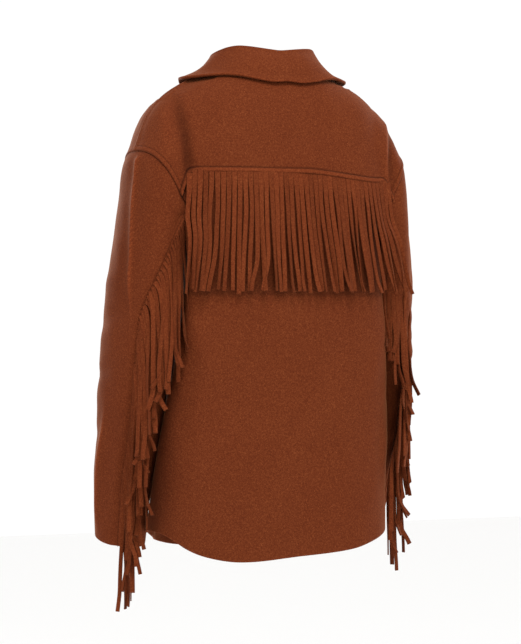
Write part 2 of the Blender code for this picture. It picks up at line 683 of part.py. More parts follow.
def sleeve_fringe_row(height, columns, last_root):
    """Section of the sleeve fringe at a height: strips hang straight down from their roots on the seam."""
    first = min(height + FRINGE_LENGTH, SLEEVE_FRINGE_FIRST_ROOT)
    last = max(height, last_root)
    root = np.linspace(first, last, columns)
    turn = elbow_turn(root)
    point = round_sleeve(turn, root, sleeve_form)
    half_width, half_depth = sleeve_section(root)[2:]
    turn = np.radians(turn)
    outward = unit(np.stack([np.cos(turn) / half_width, np.sin(turn) / half_depth, 0 * turn], axis=-1))
    point[:, 2] = height
    hang = (1 - np.exp(-(root - height) / 0.03))[:, None]
    forward = np.cross(outward, UP) * np.linspace(-smooth_step(-0.35, -0.55, height), 1, columns)[:, None]
    return point + (outward * SLEEVE_FRINGE_STAND + forward * SLEEVE_FRINGE_SPREAD) * hang, outward


def add_sleeve_fringes():
    end = 0.010
    for label, last_root, side in (
        ("left", SLEEVE_FRINGE_LAST_ROOT, 1.0),
        ("right", RIGHT_FRINGE_LAST_ROOT, OTHER_SIDE),
    ):
        heights = np.linspace(SLEEVE_FRINGE_FIRST_ROOT - end, last_root - FRINGE_LENGTH + end, 17)
        rows = [sleeve_fringe_row(height, 7, last_root) for height in heights]
        outward = np.stack([row[1] for row in rows])
        sleeve = ("sleeve_left_top", "sleeve_left_under")
        inner = laid_over(np.stack([row[0] for row in rows]), -outward, sleeve, FRINGE_LAY_GAP)
        outer = inner + outward * SLEEVE_FRINGE_THICKNESS
        loft_wall(f"sleeve_fringe_{label}", outer * side, inner * side, label == "right")


def add_buttons():
    for number in range(BUTTON_COUNT):
        height = BUTTON_TOP - BUTTON_PITCH * number
        place = seen_level(0.0, np.array([height]), False)
        normal = normals_of(place, body_form)[0]
        laid_over(place, -normal[None], ("front_right",), LAY_GAP)
        bpy.ops.mesh.primitive_cylinder_add(vertices=16, radius=BUTTON_RADIUS, depth=BUTTON_THICKNESS)
        button = bpy.context.object
        button.name = button.data.name = f"button_{number + 1}"
        button.location = place[0] + normal * BUTTON_THICKNESS / 2
        button.rotation_euler = (math.atan2(-normal[1], normal[2]), 0.0, 0.0)
        bevel = button.modifiers.new("rounded edge", "BEVEL")
        bevel.width = 0.0008
        bevel.segments = 1
        button.data.materials.append(material(button.name, HORN, 0.4))
        for holder in list(button.users_collection):
            holder.objects.unlink(button)
        PARTS.objects.link(button)


for old in list(bpy.data.objects):
    bpy.data.objects.remove(old, do_unlink=True)
PARTS = bpy.data.collections.new("wool_shirt_jacket")
bpy.context.scene.collection.children.link(PARTS)

add_body()
add_sleeves()
add_collar()
add_sleeve_fringes()
add_back_fringe()
add_buttons()
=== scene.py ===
# Wool shirt-jacket seen from behind: cloth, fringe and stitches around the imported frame.
# The cloth is rebuilt on the same forms as its solids, with fine grids that carry seams, creases and nap.
import math

import bmesh
import bpy
import numpy as np
from mathutils import Matrix, Vector
from mathutils.bvhtree import BVHTree


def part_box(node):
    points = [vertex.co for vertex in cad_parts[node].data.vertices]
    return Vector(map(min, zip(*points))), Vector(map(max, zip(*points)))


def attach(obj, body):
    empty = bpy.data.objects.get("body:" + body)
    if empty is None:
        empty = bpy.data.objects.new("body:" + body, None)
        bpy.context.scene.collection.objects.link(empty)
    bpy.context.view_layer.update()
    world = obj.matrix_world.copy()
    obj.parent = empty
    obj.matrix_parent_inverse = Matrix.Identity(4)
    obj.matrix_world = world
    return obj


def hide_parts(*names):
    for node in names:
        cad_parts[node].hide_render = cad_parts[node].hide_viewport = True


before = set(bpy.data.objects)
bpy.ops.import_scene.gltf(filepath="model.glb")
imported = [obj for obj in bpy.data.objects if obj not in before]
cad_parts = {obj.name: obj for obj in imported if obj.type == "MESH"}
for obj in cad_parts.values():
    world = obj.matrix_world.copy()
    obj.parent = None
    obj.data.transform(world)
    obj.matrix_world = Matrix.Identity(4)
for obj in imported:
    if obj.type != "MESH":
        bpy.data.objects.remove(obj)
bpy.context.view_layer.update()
scene = bpy.context.scene

# camera, light and floor
camera = {
    "target": (0.0, 0.0, -0.356),
    "distance": 3.6,
    "azimuth": 155.0,
    "elevation": 0.0,
    "verticalAngle": 14.97,
    "clipEnd": 30.0,
}
stage = {
    "floorHeight": -1.30, "floorSize": 14.0, "paper": (0.93, 0.925, 0.92, 1.0), "paperRoughness": 0.9,
    "sky": (1.0, 1.0, 0.995, 1.0), "skyStrength": 1.03,
}
lights = (
    # name, azimuth, elevation, distance, size, watts
    ("key", 166.0, 56.0, 2.4, 0.8, 28.0),
    ("fill", 200.0, 8.0, 2.8, 1.8, 3.0),
    ("rimLeft", 6.0, 14.0, 1.9, 0.8, 26.0),
    ("rimRight", 290.0, 20.0, 1.9, 0.8, 16.0),
)


def around(target, azimuth, elevation, distance):
    a, e = math.radians(azimuth), math.radians(elevation)
    way = Vector((math.sin(a) * math.cos(e), -math.cos(a) * math.cos(e), math.sin(e)))
    return Vector(target) + way * distance, way.to_track_quat("Z", "Y").to_euler()


def setStage():
    lens = bpy.data.cameras.new("camera")
    lens.sensor_fit = "VERTICAL"
    lens.angle = math.radians(camera["verticalAngle"])
    lens.clip_end = camera["clipEnd"]
    eye = bpy.data.objects.new("camera", lens)
    eye.location, eye.rotation_euler = around(
        camera["target"], camera["azimuth"], camera["elevation"], camera["distance"])
    scene.collection.objects.link(eye)
    scene.camera = eye
    for name, azimuth, elevation, distance, size, watts in lights:
        lamp = bpy.data.lights.new(name, "AREA")
        lamp.shape, lamp.size, lamp.energy = "DISK", size, watts
        holder = bpy.data.objects.new(name, lamp)
        holder.location, holder.rotation_euler = around(camera["target"], azimuth, elevation, distance)
        scene.collection.objects.link(holder)
    sky = bpy.data.worlds.new("sky")
    sky.use_nodes = True
    back = sky.node_tree.nodes["Background"]
    back.inputs["Color"].default_value = stage["sky"]
    back.inputs["Strength"].default_value = stage["skyStrength"]
    scene.world = sky
    bpy.ops.mesh.primitive_plane_add(size=stage["floorSize"], location=(0.0, 0.0, stage["floorHeight"]))
    floor = bpy.context.object
    floor.name = "floor"
    paper = bpy.data.materials.new("paper")
    paper.use_nodes = True
    shader = paper.node_tree.nodes["Principled BSDF"]
    shader.inputs["Base Color"].default_value = stage["paper"]
    shader.inputs["Roughness"].default_value = stage["paperRoughness"]
    floor.data.materials.append(paper)
    scene.view_settings.view_transform = "Standard"


print("setting the stage")
setStage()

# sizes and tables of the forms, as in the solids, in metres and degrees
cloth = {"wall": 0.0026, "seamGap": 0.00034, "layGap": 0.0008, "lapGap": 0.0012, "armClearance": 0.007,
         "edgeBulge": 0.0008, "lapLift": (0.0022, 0.003, 0.009)}
underarm = {"low": -0.222, "high": -0.186, "puff": 0.0015}
fan = {"height": -0.200, "scale": 0.2, "turnScale": 0.15}
yoke = {"height": -0.145, "dip": 0.035, "dipFrom": 0.150, "dipTo": 0.171,
        "slope": 0.009, "slopeFrom": 0.01, "slopeTo": 0.13}
hemline = {"side": -0.655, "drop": 0.038, "halfWidth": 0.180}
# x, how much higher the back hem hangs there than an even one
backHemRows = (
    (-0.182, 0.0), (-0.120, 0.007), (-0.070, 0.007), (0.0, 0.004),
    (0.050, -0.001), (0.105, -0.008), (0.150, -0.011), (0.182, 0.0),
)
cuff = {"height": -0.672, "tilt": 0.22, "halfDepth": 0.047}
armholeSize = {"top": -0.112, "drop": 0.131, "power": 1.3, "reach": 0.03}
neck = {"top": 0.026, "centreY": 0.006, "halfWidth": 0.078, "back": 0.066, "front": 0.080}
# middle of the arc that the shoulder seam runs on
shoulderArc = (0.100, 0.013, -0.130)
# how softly one form runs into another
blends = {"neck": 0.006, "sleeveCap": 0.004, "shoulder": 0.022}
# reach of the sleeve's dent in the body, in half depths of the sleeve
pressed = {"behind": 0.97, "before": 1.12}
# strips hang across the fold between back and sleeve
bridge = {"rise": 0.018, "start": -0.205, "full": -0.245, "radius": 0.05, "edge": 0.001}
casting = {"steps": 86, "halvings": 22}
lap = {"reach": 0.017, "sinkStart": 0.045}
cells = {"shoulder": 6, "neck": 10, "frontNeck": 5, "armYoke": 6, "armBack": 5, "armFront": 11,
         "elbowRow": 4, "frontRow": 4, "side": 9, "along": 13}

# z, half width, back, front, power
bodyRows = (
    (0.030, 0.050, 0.045, 0.030, 2.2), (0.012, 0.083, 0.067, 0.040, 2.2), (0.000, 0.108, 0.080, 0.049, 2.3),
    (-0.012, 0.133, 0.089, 0.057, 2.4), (-0.024, 0.150, 0.096, 0.064, 2.5), (-0.042, 0.166, 0.104, 0.073, 2.7),
    (-0.070, 0.176, 0.113, 0.085, 2.9), (-0.110, 0.180, 0.120, 0.098, 3.1), (-0.150, 0.181, 0.124, 0.108, 3.2),
    (-0.200, 0.181, 0.127, 0.117, 3.2), (-0.300, 0.180, 0.129, 0.124, 3.2), (-0.420, 0.182, 0.131, 0.127, 3.1),
    (-0.520, 0.183, 0.132, 0.129, 3.0), (-0.620, 0.182, 0.133, 0.130, 2.9), (-0.760, 0.182, 0.134, 0.131, 2.9),
)
# z, centre x, centre y, half width, half depth
sleeveRows = (
    (-0.050, 0.1530, 0.012, 0.0430, 0.0740), (-0.095, 0.1580, 0.014, 0.0430, 0.0760),
    (-0.130, 0.1690, 0.015, 0.0430, 0.0790), (-0.165, 0.1740, 0.014, 0.0430, 0.0810),
    (-0.210, 0.1785, 0.009, 0.0435, 0.0815), (-0.267, 0.1835, 0.004, 0.0435, 0.0800),
    (-0.313, 0.1875, 0.000, 0.0435, 0.0775), (-0.400, 0.1905, -0.009, 0.0430, 0.0730),
    (-0.444, 0.1920, -0.017, 0.0420, 0.0700), (-0.524, 0.1930, -0.034, 0.0395, 0.0630),
    (-0.578, 0.1940, -0.048, 0.0370, 0.0575), (-0.620, 0.1930, -0.059, 0.0340, 0.0530),
    (-0.690, 0.1890, -0.077, 0.0300, 0.0470),
)
sleeveShape = {"power": 2.15, "capStart": -0.120, "capHeight": 0.082}
# z, angle round the sleeve in degrees
elbowRows = (
    (-0.200, 115.0), (-0.230, 105.0), (-0.258, 94.0), (-0.290, 82.0), (-0.308, 75.0),
    (-0.353, 60.0), (-0.420, 60.0), (-0.483, 63.0), (-0.612, 61.0), (-0.690, 60.0),
)
frontSeamAngle = -116.0
# direction round the neck, stand, lean, reach
collarRows = (
    (0, 0.027, 0.008, 0.019), (45, 0.029, 0.008, 0.030), (85, 0.021, 0.008, 0.049),
    (125, 0.013, 0.006, 0.034), (160, 0.012, 0.003, 0.020), (180, 0.011, 0.002, 0.014),
)
collarShape = {"roll": 0.0050, "endAngle": 176.0, "stations": 29}
up = np.array([0.0, 0.0, 1.0])
mirror = np.array([-1.0, 1.0, 1.0])


# forms

# monotone cubic reading of one column of a table
def column(rows, k, at):
    rows = sorted(rows)
    place = np.array([row[0] for row in rows], float)
    value = np.array([row[k] for row in rows], float)
    step = np.diff(place)
    slope = np.diff(value) / step
    sameWay = slope[:-1] * slope[1:] > 0
    product = np.where(sameWay, slope[:-1] * slope[1:], 0.0)
    total = np.where(sameWay, slope[:-1] + slope[1:], 1.0)
    tangent = np.concatenate([[slope[0]], 2.0 * product / total, [slope[-1]]])
    at = np.clip(np.asarray(at, float), place[0], place[-1])
    cell = np.clip(np.searchsorted(place, at) - 1, 0, len(step) - 1)
    t = (at - place[cell]) / step[cell]
    start = value[cell] * (1 + 2 * t) * (1 - t) ** 2 + tangent[cell] * step[cell] * t * (1 - t) ** 2
    start = start + value[cell + 1] * t * t * (3 - 2 * t)
    return start + tangent[cell + 1] * step[cell] * t * t * (t - 1)


def smooth(low, high, value):
    t = np.clip((np.asarray(value, float) - low) / (high - low), 0.0, 1.0)
    return t * t * (3 - 2 * t)


def blendLow(a, b, radius):
    t = np.clip(0.5 + 0.5 * (b - a) / radius, 0.0, 1.0)
    return b + (a - b) * t - radius * t * (1 - t)


def blendHigh(a, b, radius):
    return -blendLow(-a, -b, radius)


def ovalDistance(x, y, halfX, halfY, power):
    u = np.maximum(np.abs(x) / halfX, 1e-6)
    v = np.maximum(np.abs(y) / halfY, 1e-6)
    size = (u ** power + v ** power) ** (1.0 / power)
    return (size - 1.0) / np.hypot((u / size) ** (power - 1) / halfX, (v / size) ** (power - 1) / halfY)


def torso(p, pinch=0.0):
    x, y, z = np.abs(p[..., 0]) + pinch, p[..., 1], p[..., 2]
    depth = np.where(y > 0, column(bodyRows, 2, z), column(bodyRows, 3, z))
    wall = ovalDistance(x, y, column(bodyRows, 1, z), depth, column(bodyRows, 4, z))
    return blendHigh(wall, z - neck["top"], blends["neck"])


def sleeveSection(z):
    rise = np.clip((np.asarray(z, float) - sleeveShape["capStart"]) / sleeveShape["capHeight"], 0.0, 0.995)
    cap = np.sqrt(1.0 - rise * rise)
    centreX, centreY, halfWidth, halfDepth = (column(sleeveRows, k, z) for k in (1, 2, 3, 4))
    return centreX, centreY, halfWidth * cap, halfDepth * cap


def arm(p):
    centreX, centreY, halfWidth, halfDepth = sleeveSection(p[..., 2])
    wall = ovalDistance(np.abs(p[..., 0]) - centreX, p[..., 1] - centreY, halfWidth, halfDepth,
                        sleeveShape["power"])
    capTop = sleeveShape["capStart"] + sleeveShape["capHeight"]
    return blendHigh(wall, p[..., 2] - capTop, blends["sleeveCap"])


def pressedTorso(p):
    centreX, centreY, halfWidth, halfDepth = sleeveSection(p[..., 2])
    deepest = column(bodyRows, 1, p[..., 2]) - (centreX - halfWidth - cloth["armClearance"])
    behind = p[..., 1] - centreY
    fromMiddle = behind / (np.where(behind > 0, pressed["behind"], pressed["before"]) * halfDepth)
    return torso(p, deepest * np.exp(-fromMiddle ** 4))


def shoulders(p):
    return blendLow(torso(p), arm(p), blends["shoulder"])


# body and sleeves with the fold between them bridged by hanging strips
def underFringe(p):
    sleeve = arm(p) - bridge["rise"] * smooth(bridge["start"], bridge["full"], p[..., 2])
    return blendLow(blendLow(pressedTorso(p), sleeve, bridge["radius"]), shoulders(p), bridge["edge"])


def joinedShare(p):
    return smooth(underarm["low"], underarm["high"], p[..., 2])


def bodyForm(p):
    share = joinedShare(p)
    return pressedTorso(p) * (1 - share) + np.maximum(shoulders(p), -underarm["puff"]) * share


def sleeveForm(p):
    share = joinedShare(p)
    return arm(p) * (1 - share) + np.maximum(shoulders(p), -underarm["puff"]) * share


# where rays leave a form: found in small steps, then by halving
def cast(start, direction, form, reach=0.34, lastExit=True):
    steps = np.linspace(0.0, reach, casting["steps"])
    inside = np.stack([form(start + direction * s) < 0 for s in steps])
    if lastExit:
        found = len(steps) - 1 - np.argmax(inside[::-1], axis=0)
    else:
        found = np.maximum(np.argmin(inside, axis=0) - 1, 0)
    low, high = steps[found], steps[np.minimum(found + 1, len(steps) - 1)]
    for _ in range(casting["halvings"]):
        middle = (low + high) / 2
        within = form(start + direction * middle[..., None]) < 0
        low, high = np.where(within, middle, low), np.where(within, high, middle)
    return start + direction * ((low + high) / 2)[..., None]


def unit(vectors):
    return vectors / np.maximum(np.linalg.norm(vectors, axis=-1, keepdims=True), 1e-9)


def gradientOf(points, form, size=0.0015):
    rises = [form(points + size * axis) - form(points - size * axis) for axis in np.eye(3)]
    return np.stack(rises, axis=-1) / (2 * size)


def normalsOf(points, form):
    return unit(gradientOf(points, form))


# lines and patches
def toFan(points):
    above = points[..., 2] - fan["height"]
    tilt = np.arctan2(above, np.hypot(points[..., 0], points[..., 1])) * fan["scale"]
    return np.stack([np.arctan2(points[..., 1], points[..., 0]), np.where(above > 0, tilt, above)], axis=-1)


def fromFan(flat, form=bodyForm):
    angle, rise = flat[..., 0], flat[..., 1]
    tilt = np.maximum(rise, 0.0) / fan["scale"]
    start = np.stack([0 * angle, 0 * angle, fan["height"] + np.minimum(rise, 0.0)], axis=-1)
    level = np.cos(tilt)
    return cast(start, np.stack([np.cos(angle) * level, np.sin(angle) * level, np.sin(tilt)], axis=-1), form)


def spread(points, count):
    length = np.concatenate([[0.0], np.cumsum(np.linalg.norm(np.diff(points, axis=0), axis=1))])
    at = np.linspace(0.0, length[-1], count)
    return np.stack([np.interp(at, length, points[:, k]) for k in range(points.shape[1])], axis=1)


def join(*lines):
    return np.concatenate([lines[0]] + [line[1:] for line in lines[1:]])


def fill(bottom, top, left, right):
    v = np.linspace(0, 1, len(left))[:, None, None]
    u = np.linspace(0, 1, len(bottom))[None, :, None]
    ruled = (1 - v) * bottom[None] + v * top[None] + (1 - u) * left[:, None] + u * right[:, None]
    return ruled - (
        (1 - u) * (1 - v) * bottom[0] + u * (1 - v) * bottom[-1] + (1 - u) * v * top[0] + u * v * top[-1])


# Winslow smoothing of a flat grid: the border stays and no cell folds over another
def evenOut(grid, rounds=260):
    for _ in range(rounds):
        north, south, east, west = grid[2:, 1:-1], grid[:-2, 1:-1], grid[1:-1, 2:], grid[1:-1, :-2]
        rise, over = (north - south) / 2, (east - west) / 2
        a, b, c = (np.sum(m * n, axis=-1, keepdims=True)
                   for m, n in ((rise, rise), (over, rise), (over, over)))
        corners = grid[2:, 2:] - grid[:-2, 2:] - grid[2:, :-2] + grid[:-2, :-2]
        better = (a * (east + west) + c * (north + south) - b / 2 * corners) / (2 * (a + c))
        grid[1:-1, 1:-1] = 0.4 * grid[1:-1, 1:-1] + 0.6 * better
    return grid


def keepEdges(grid, bottom, top, left, right, reach=3.0):
    v = np.linspace(0, 1, grid.shape[0])[:, None, None]
    u = np.linspace(0, 1, grid.shape[1])[None, :, None]
    grid = grid + (top - grid[-1])[None] * np.clip(1 - (1 - v) * reach, 0, 1) ** 2
    grid = grid + (bottom - grid[0])[None] * np.clip(1 - v * reach, 0, 1) ** 2
    grid = grid + (right - grid[:, -1])[:, None] * np.clip(1 - (1 - u) * reach, 0, 1) ** 2
    return grid + (left - grid[:, 0])[:, None] * np.clip(1 - u * reach, 0, 1) ** 2


def bodyPatch(bottom, top, left, right):
    scale = np.array([fan["turnScale"], 1.0])
    lines = [toFan(line) for line in (bottom, top, left, right)]
    for line in lines:
        line[:, 0] = np.unwrap(line[:, 0])
    flat = evenOut(fill(*(line * scale for line in lines))) / scale
    return keepEdges(fromFan(flat), bottom, top, left, right)


# seam lines, on the wearer's left
def armholeHeight(turn):
    share = (1 - np.cos(np.radians(turn))) / 2
    return armholeSize["top"] - armholeSize["drop"] * share ** armholeSize["power"]


def roundSleeve(turn, height, form):
    centreX, centreY, halfWidth, halfDepth = sleeveSection(height)
    turn = np.radians(turn)
    direction = unit(np.stack([halfWidth * np.cos(turn), halfDepth * np.sin(turn), 0 * turn], axis=-1))
    start = np.stack([centreX + 0 * turn, centreY + 0 * turn, height + 0 * turn], axis=-1)
    return cast(start, direction, form, reach=0.13, lastExit=False)


def armhole(turn):
    turn = np.asarray(turn, float)
    height = armholeHeight(turn)
    hanging = roundSleeve(turn, height, lambda p: arm(p) - cloth["armClearance"] / 2)
    gap = roundSleeve(turn, height, shoulders) - hanging
    far = np.linalg.norm(gap, axis=-1, keepdims=True)
    joined = hanging + gap * np.minimum(1.0, armholeSize["reach"] / np.maximum(far, 1e-6))
    share = joinedShare(hanging)[..., None]
    return hanging * (1 - share) + joined * share


def armholeTurns(start, end, count):
    turns = np.linspace(start, end, 121)
    length = np.concatenate([[0.0], np.cumsum(np.linalg.norm(np.diff(armhole(turns), axis=0), axis=1))])
    return np.interp(np.linspace(0.0, length[-1], count + 1), length, turns)


def yokeEndTurn():
    turns = np.linspace(60, 140, 801)
    return float(turns[np.argmin(np.abs(yoke["height"] - yoke["dip"] - armholeHeight(turns)))])


def elbowTurn(height):
    return column(elbowRows, 1, height)


def seenLevel(x, z, back, form=bodyForm):
    x, z = np.broadcast_arrays(np.asarray(x, float), np.asarray(z, float))
    direction = np.broadcast_to(np.array([0.0, 1.0 if back else -1.0, 0.0]), x.shape + (3,))
    return cast(np.stack([x, 0 * x, z], axis=-1), direction, form, reach=0.2)


def seenFromAbove(x, y):
    start = np.stack([x, y, 0 * x - 0.17], axis=-1)
    return cast(start, np.broadcast_to(up, start.shape), shoulders, reach=0.21)


def yokeDrop(x):
    fold = smooth(yoke["dipFrom"], yoke["dipTo"], np.abs(x))
    slope = yoke["slope"] * smooth(yoke["slopeFrom"], yoke["slopeTo"], -x)
    return yoke["height"] - yoke["dip"] * fold - slope * (1 - fold)


def yokeSeam(count):
    end = armhole(yokeTurns)[0]
    x = np.linspace(-end[0], end[0], 161)
    line = seenLevel(x, yokeDrop(x), True)
    line[0], line[-1] = end * mirror, end
    return spread(line, count)


def neckLine(angle):
    turn = np.radians(np.asarray(angle, float))
    depth = np.where(np.cos(turn) > 0, neck["back"], neck["front"])
    return seenFromAbove(neck["halfWidth"] * np.sin(turn), neck["centreY"] + depth * np.cos(turn))


def shoulderSeam(count):
    centre = np.array(shoulderArc)
    low, high = armhole(np.array([0.0]))[0], neckLine(np.array([90.0]))[0]
    tilt = np.linspace(*(math.atan2(p[2] - centre[2], p[0] - centre[0]) for p in (low, high)), 60)
    direction = np.stack([np.cos(tilt), 0 * tilt, np.sin(tilt)], axis=-1)
    line = cast(np.broadcast_to(centre, direction.shape), direction, shoulders, reach=0.2)
    share = np.linspace(0, 1, len(line))[:, None]
    return spread(line + (low - line[0]) * (1 - share) ** 2 + (high - line[-1]) * share ** 2, count)


def hemHeight(x, back=False):
    even = hemline["side"] - hemline["drop"] * (1 - np.clip(np.abs(x) / hemline["halfWidth"], 0, 1) ** 3)
    return even + (column(backHemRows, 1, x) if back else 0.0)


def hem(fromAngle, toAngle, count):
    angle = np.radians(np.linspace(fromAngle, toAngle, 121))
    height = np.full(angle.shape, hemline["side"])
    for _ in range(4):
        line = fromFan(np.stack([angle, height - fan["height"]], axis=-1))
        height = hemHeight(line[:, 0], fromAngle == 180)
    return spread(line, count)


def sideSeam(count):
    top = armhole(np.array([180.0]))[0]
    low = hem(0.1, -0.1, 3)[1]
    height = np.linspace(low[2], top[2], 60)
    line = fromFan(np.stack([0 * height, height - fan["height"]], axis=-1))
    share = np.linspace(0, 1, len(line))[:, None]
    return spread(line + (top - line[-1]) * np.clip(4 * share - 3, 0, 1) ** 2, count)


yokeTurns = armholeTurns(yokeEndTurn(), 0.0, cells["armYoke"])
backTurns = armholeTurns(180.0, yokeEndTurn(), cells["armBack"])
frontTurns = armholeTurns(-180.0, 0.0, cells["armFront"])


# coarse grids of the pieces, rows going up
def yokeGrid():
    columns = 2 * cells["shoulder"] + cells["neck"] + 1
    shoulder = shoulderSeam(cells["shoulder"] + 1)
    neckEdge = spread(neckLine(np.linspace(90, -90, 91)), cells["neck"] + 1)
    top = join(shoulder, neckEdge, (shoulder * mirror)[::-1])[::-1]
    right = armhole(yokeTurns)
    return bodyPatch(yokeSeam(columns), top, right * mirror, right)


def backGrid():
    columns = 2 * cells["shoulder"] + cells["neck"] + 1
    right = join(sideSeam(cells["side"] + 1), armhole(backTurns))
    bottom = hem(180, 0, columns)
    bottom[0], bottom[-1] = right[0] * mirror, right[0]
    return bodyPatch(bottom, yokeSeam(columns), right * mirror, right)


def frontGrid():
    last = 180.0 + math.degrees(math.asin(lap["reach"] / neck["halfWidth"]))
    neckEdge = spread(neckLine(np.linspace(90, last, 91)), cells["frontNeck"] + 1)
    top = join(shoulderSeam(cells["shoulder"] + 1), neckEdge)
    outer = join(sideSeam(cells["side"] + 1), armhole(frontTurns))
    inner = seenLevel(-lap["reach"], np.linspace(hemHeight(lap["reach"]), neckEdge[-1][2], 60), False)
    inner[-1] = neckEdge[-1]
    inner = spread(inner, len(outer))
    bottom = hem(0, math.degrees(math.atan2(inner[0][1], inner[0][0])), len(top))
    bottom[0], bottom[-1] = outer[0], inner[0]
    return bodyPatch(bottom, top, outer, inner)


def sleeveGrids():
    ringTurns = np.concatenate([frontTurns[cells["frontRow"]:], yokeTurns[-2::-1], backTurns[-2::-1]])
    ringTurns = np.concatenate([ringTurns, 360 + frontTurns[1: cells["frontRow"] + 1]])
    split = len(ringTurns) - 1 - cells["frontRow"] - cells["elbowRow"]
    share = np.linspace(0, 1, cells["along"] + 1)[:, None]
    front = frontSeamAngle + (ringTurns[0] - frontSeamAngle) * np.clip(4 * share - 3, 0, 1) ** 2
    upper = (ringTurns[: split + 1] - ringTurns[0]) / (ringTurns[split] - ringTurns[0])
    under = (ringTurns[split:] - ringTurns[split]) / (ringTurns[-1] - ringTurns[split])
    elbow = np.full(share.shape, elbowRows[-1][1])
    for _ in range(6):
        turn = np.concatenate(
            [front + (elbow - front) * upper, elbow + (360 + front - elbow) * under[1:]], axis=1)
        edge = cuff["height"] - cuff["tilt"] * cuff["halfDepth"] * np.sin(np.radians(turn))
        height = edge * (1 - share) + armholeHeight(ringTurns) * share
        elbow = elbowTurn(height[:, split])[:, None]
        elbow[-1] = ringTurns[split]
    grid = roundSleeve(turn, height, sleeveForm)
    nearTop = np.clip(3.2 * share[:, :, None] - 2.2, 0, 1) ** 2
    grid = grid + (armhole(ringTurns) - grid[-1])[None] * nearTop
    return (grid[:, : split + 1], turn[:, : split + 1]), (grid[:, split:], turn[:, split:])


# wool and thread

# a shader socket that takes part in plain arithmetic
class Maths:
    def __init__(self, tree, socket):
        self.tree, self.socket = tree, socket

    def node(self, operation, *values, clamp=False):
        made = self.tree.nodes.new("ShaderNodeMath")
        made.operation, made.use_clamp = operation, clamp
        for place, value in zip(made.inputs, values):
            if isinstance(value, Maths):
                self.tree.links.new(value.socket, place)
            else:
                place.default_value = value
        return Maths(self.tree, made.outputs[0])

    def __add__(self, other):
        return self.node("ADD", self, other)

    def __mul__(self, other):
        return self.node("MULTIPLY", self, other)

    __radd__, __rmul__ = __add__, __mul__


# a node with its settings first, then values or links for its named inputs
def addNode(tree, kind, settings=None, **values):
    made = tree.nodes.new(kind)
    for name, value in (settings or {}).items():
        setattr(made, name, value)
    for name, value in values.items():
        place = made.inputs[name.replace("_", " ")]
        if isinstance(value, Maths):
            tree.links.new(value.socket, place)
        elif isinstance(value, bpy.types.NodeSocket):
            tree.links.new(value, place)
        else:
            place.default_value = value
    return made


def newMaterial(name):
    made = bpy.data.materials.new(name)
    made.use_nodes = True
    return made, made.node_tree, made.node_tree.nodes["Principled BSDF"]


wool = {
    "base": (0.126, 0.0255, 0.0074, 1.0),
    "dark": (0.090, 0.0170, 0.0050, 1.0),
    "light": (0.178, 0.0440, 0.0135, 1.0),
    "roughness": 0.92,
    "sheen": 0.13,
    "sheenRoughness": 0.28,
    "sheenTint": (1.0, 0.46, 0.20, 1.0),
    "fibreScale": 900.0,
    "clumpScale": 430.0,
    "clumpRoughness": 0.65,
    "cloudScale": 9.0,
    "detail": 3.0,
    "heather": (0.50, 0.42, 0.08),
    "stops": ((0.40, "dark"), (0.51, "base"), (0.62, "light")),
    "flecks": 9.0,
    "flecksFrom": 0.66,
    "bump": 0.00055,
    "bumpStrength": 0.55,
    "nap": (0.5, 0.9),
    "specular": 0.06,
}


def woolMaterial(name, shade=1.0, bump=1.0):
    made, tree, shader = newMaterial(name)
    place = addNode(tree, "ShaderNodeTexCoord").outputs["Object"]

    def noise(scale, roughness=0.6):
        made = addNode(tree, "ShaderNodeTexNoise", Vector=place, Scale=scale, Detail=wool["detail"],
                       Roughness=roughness)
        return Maths(tree, made.outputs["Fac"])

    fibre = noise(wool["fibreScale"])
    clump = noise(wool["clumpScale"], wool["clumpRoughness"])
    cloud = noise(wool["cloudScale"])
    ofFibre, ofClump, ofCloud = wool["heather"]
    heather = fibre * ofFibre + clump * ofClump + cloud * ofCloud
    ramp = addNode(tree, "ShaderNodeValToRGB", Fac=heather)
    stops = ramp.color_ramp.elements
    stops.new(0.5)
    for k, (at, key) in enumerate(wool["stops"]):
        stops[k].position = at
        stops[k].color = tuple(c * shade for c in wool[key][:3]) + (1.0,)
    # the tone attribute scales the colour: painted shade and highlights from seams, folds, creases and edges,
    # painted shade on the strips' cut sides, and a random tone per strip
    tone = Maths(tree, addNode(tree, "ShaderNodeAttribute", {"attribute_name": "tone"}).outputs["Fac"])
    sparkle = fibre.node("SUBTRACT", fibre, wool["flecksFrom"], clamp=True) * wool["flecks"]
    toned = addNode(tree, "ShaderNodeVectorMath", {"operation": "SCALE"}, Vector=ramp.outputs["Color"],
                    Scale=tone + 1.0 + sparkle)
    tree.links.new(toned.outputs[0], shader.inputs["Base Color"])
    nap = addNode(tree, "ShaderNodeBump", Strength=wool["bumpStrength"], Distance=wool["bump"] * bump,
                  Height=fibre * wool["nap"][0] + clump * wool["nap"][1])
    tree.links.new(nap.outputs["Normal"], shader.inputs["Normal"])
    for name, value in (("Roughness", wool["roughness"]), ("Sheen Weight", wool["sheen"]),
                        ("Sheen Roughness", wool["sheenRoughness"]), ("Sheen Tint", wool["sheenTint"]),
                        ("Specular IOR Level", wool["specular"])):
        shader.inputs[name].default_value = value
    return made


def plainMaterial(name, colour, roughness, coat=0.0):
    made, _, shader = newMaterial(name)
    for label, value in (("Base Color", colour), ("Roughness", roughness), ("Coat Weight", coat),
                         ("Specular IOR Level", 0.5 if coat else 0.05)):
        shader.inputs[label].default_value = value
    return made


clothWool = woolMaterial("felted wool")
fringeWool = woolMaterial("cut wool strips", shade=1.03, bump=1.2)
threadMaterial = plainMaterial("thread", colour=(0.066, 0.0150, 0.0052, 1.0), roughness=0.9)
hornMaterial = plainMaterial("horn", colour=(0.034, 0.0120, 0.0060, 1.0), roughness=0.42, coat=0.12)


# fine grids
fine = {"steps": 7, "edgeSteps": 13, "edgeShare": 0.45, "innerSteps": 5, "rounds": 3, "furthest": 0.004}


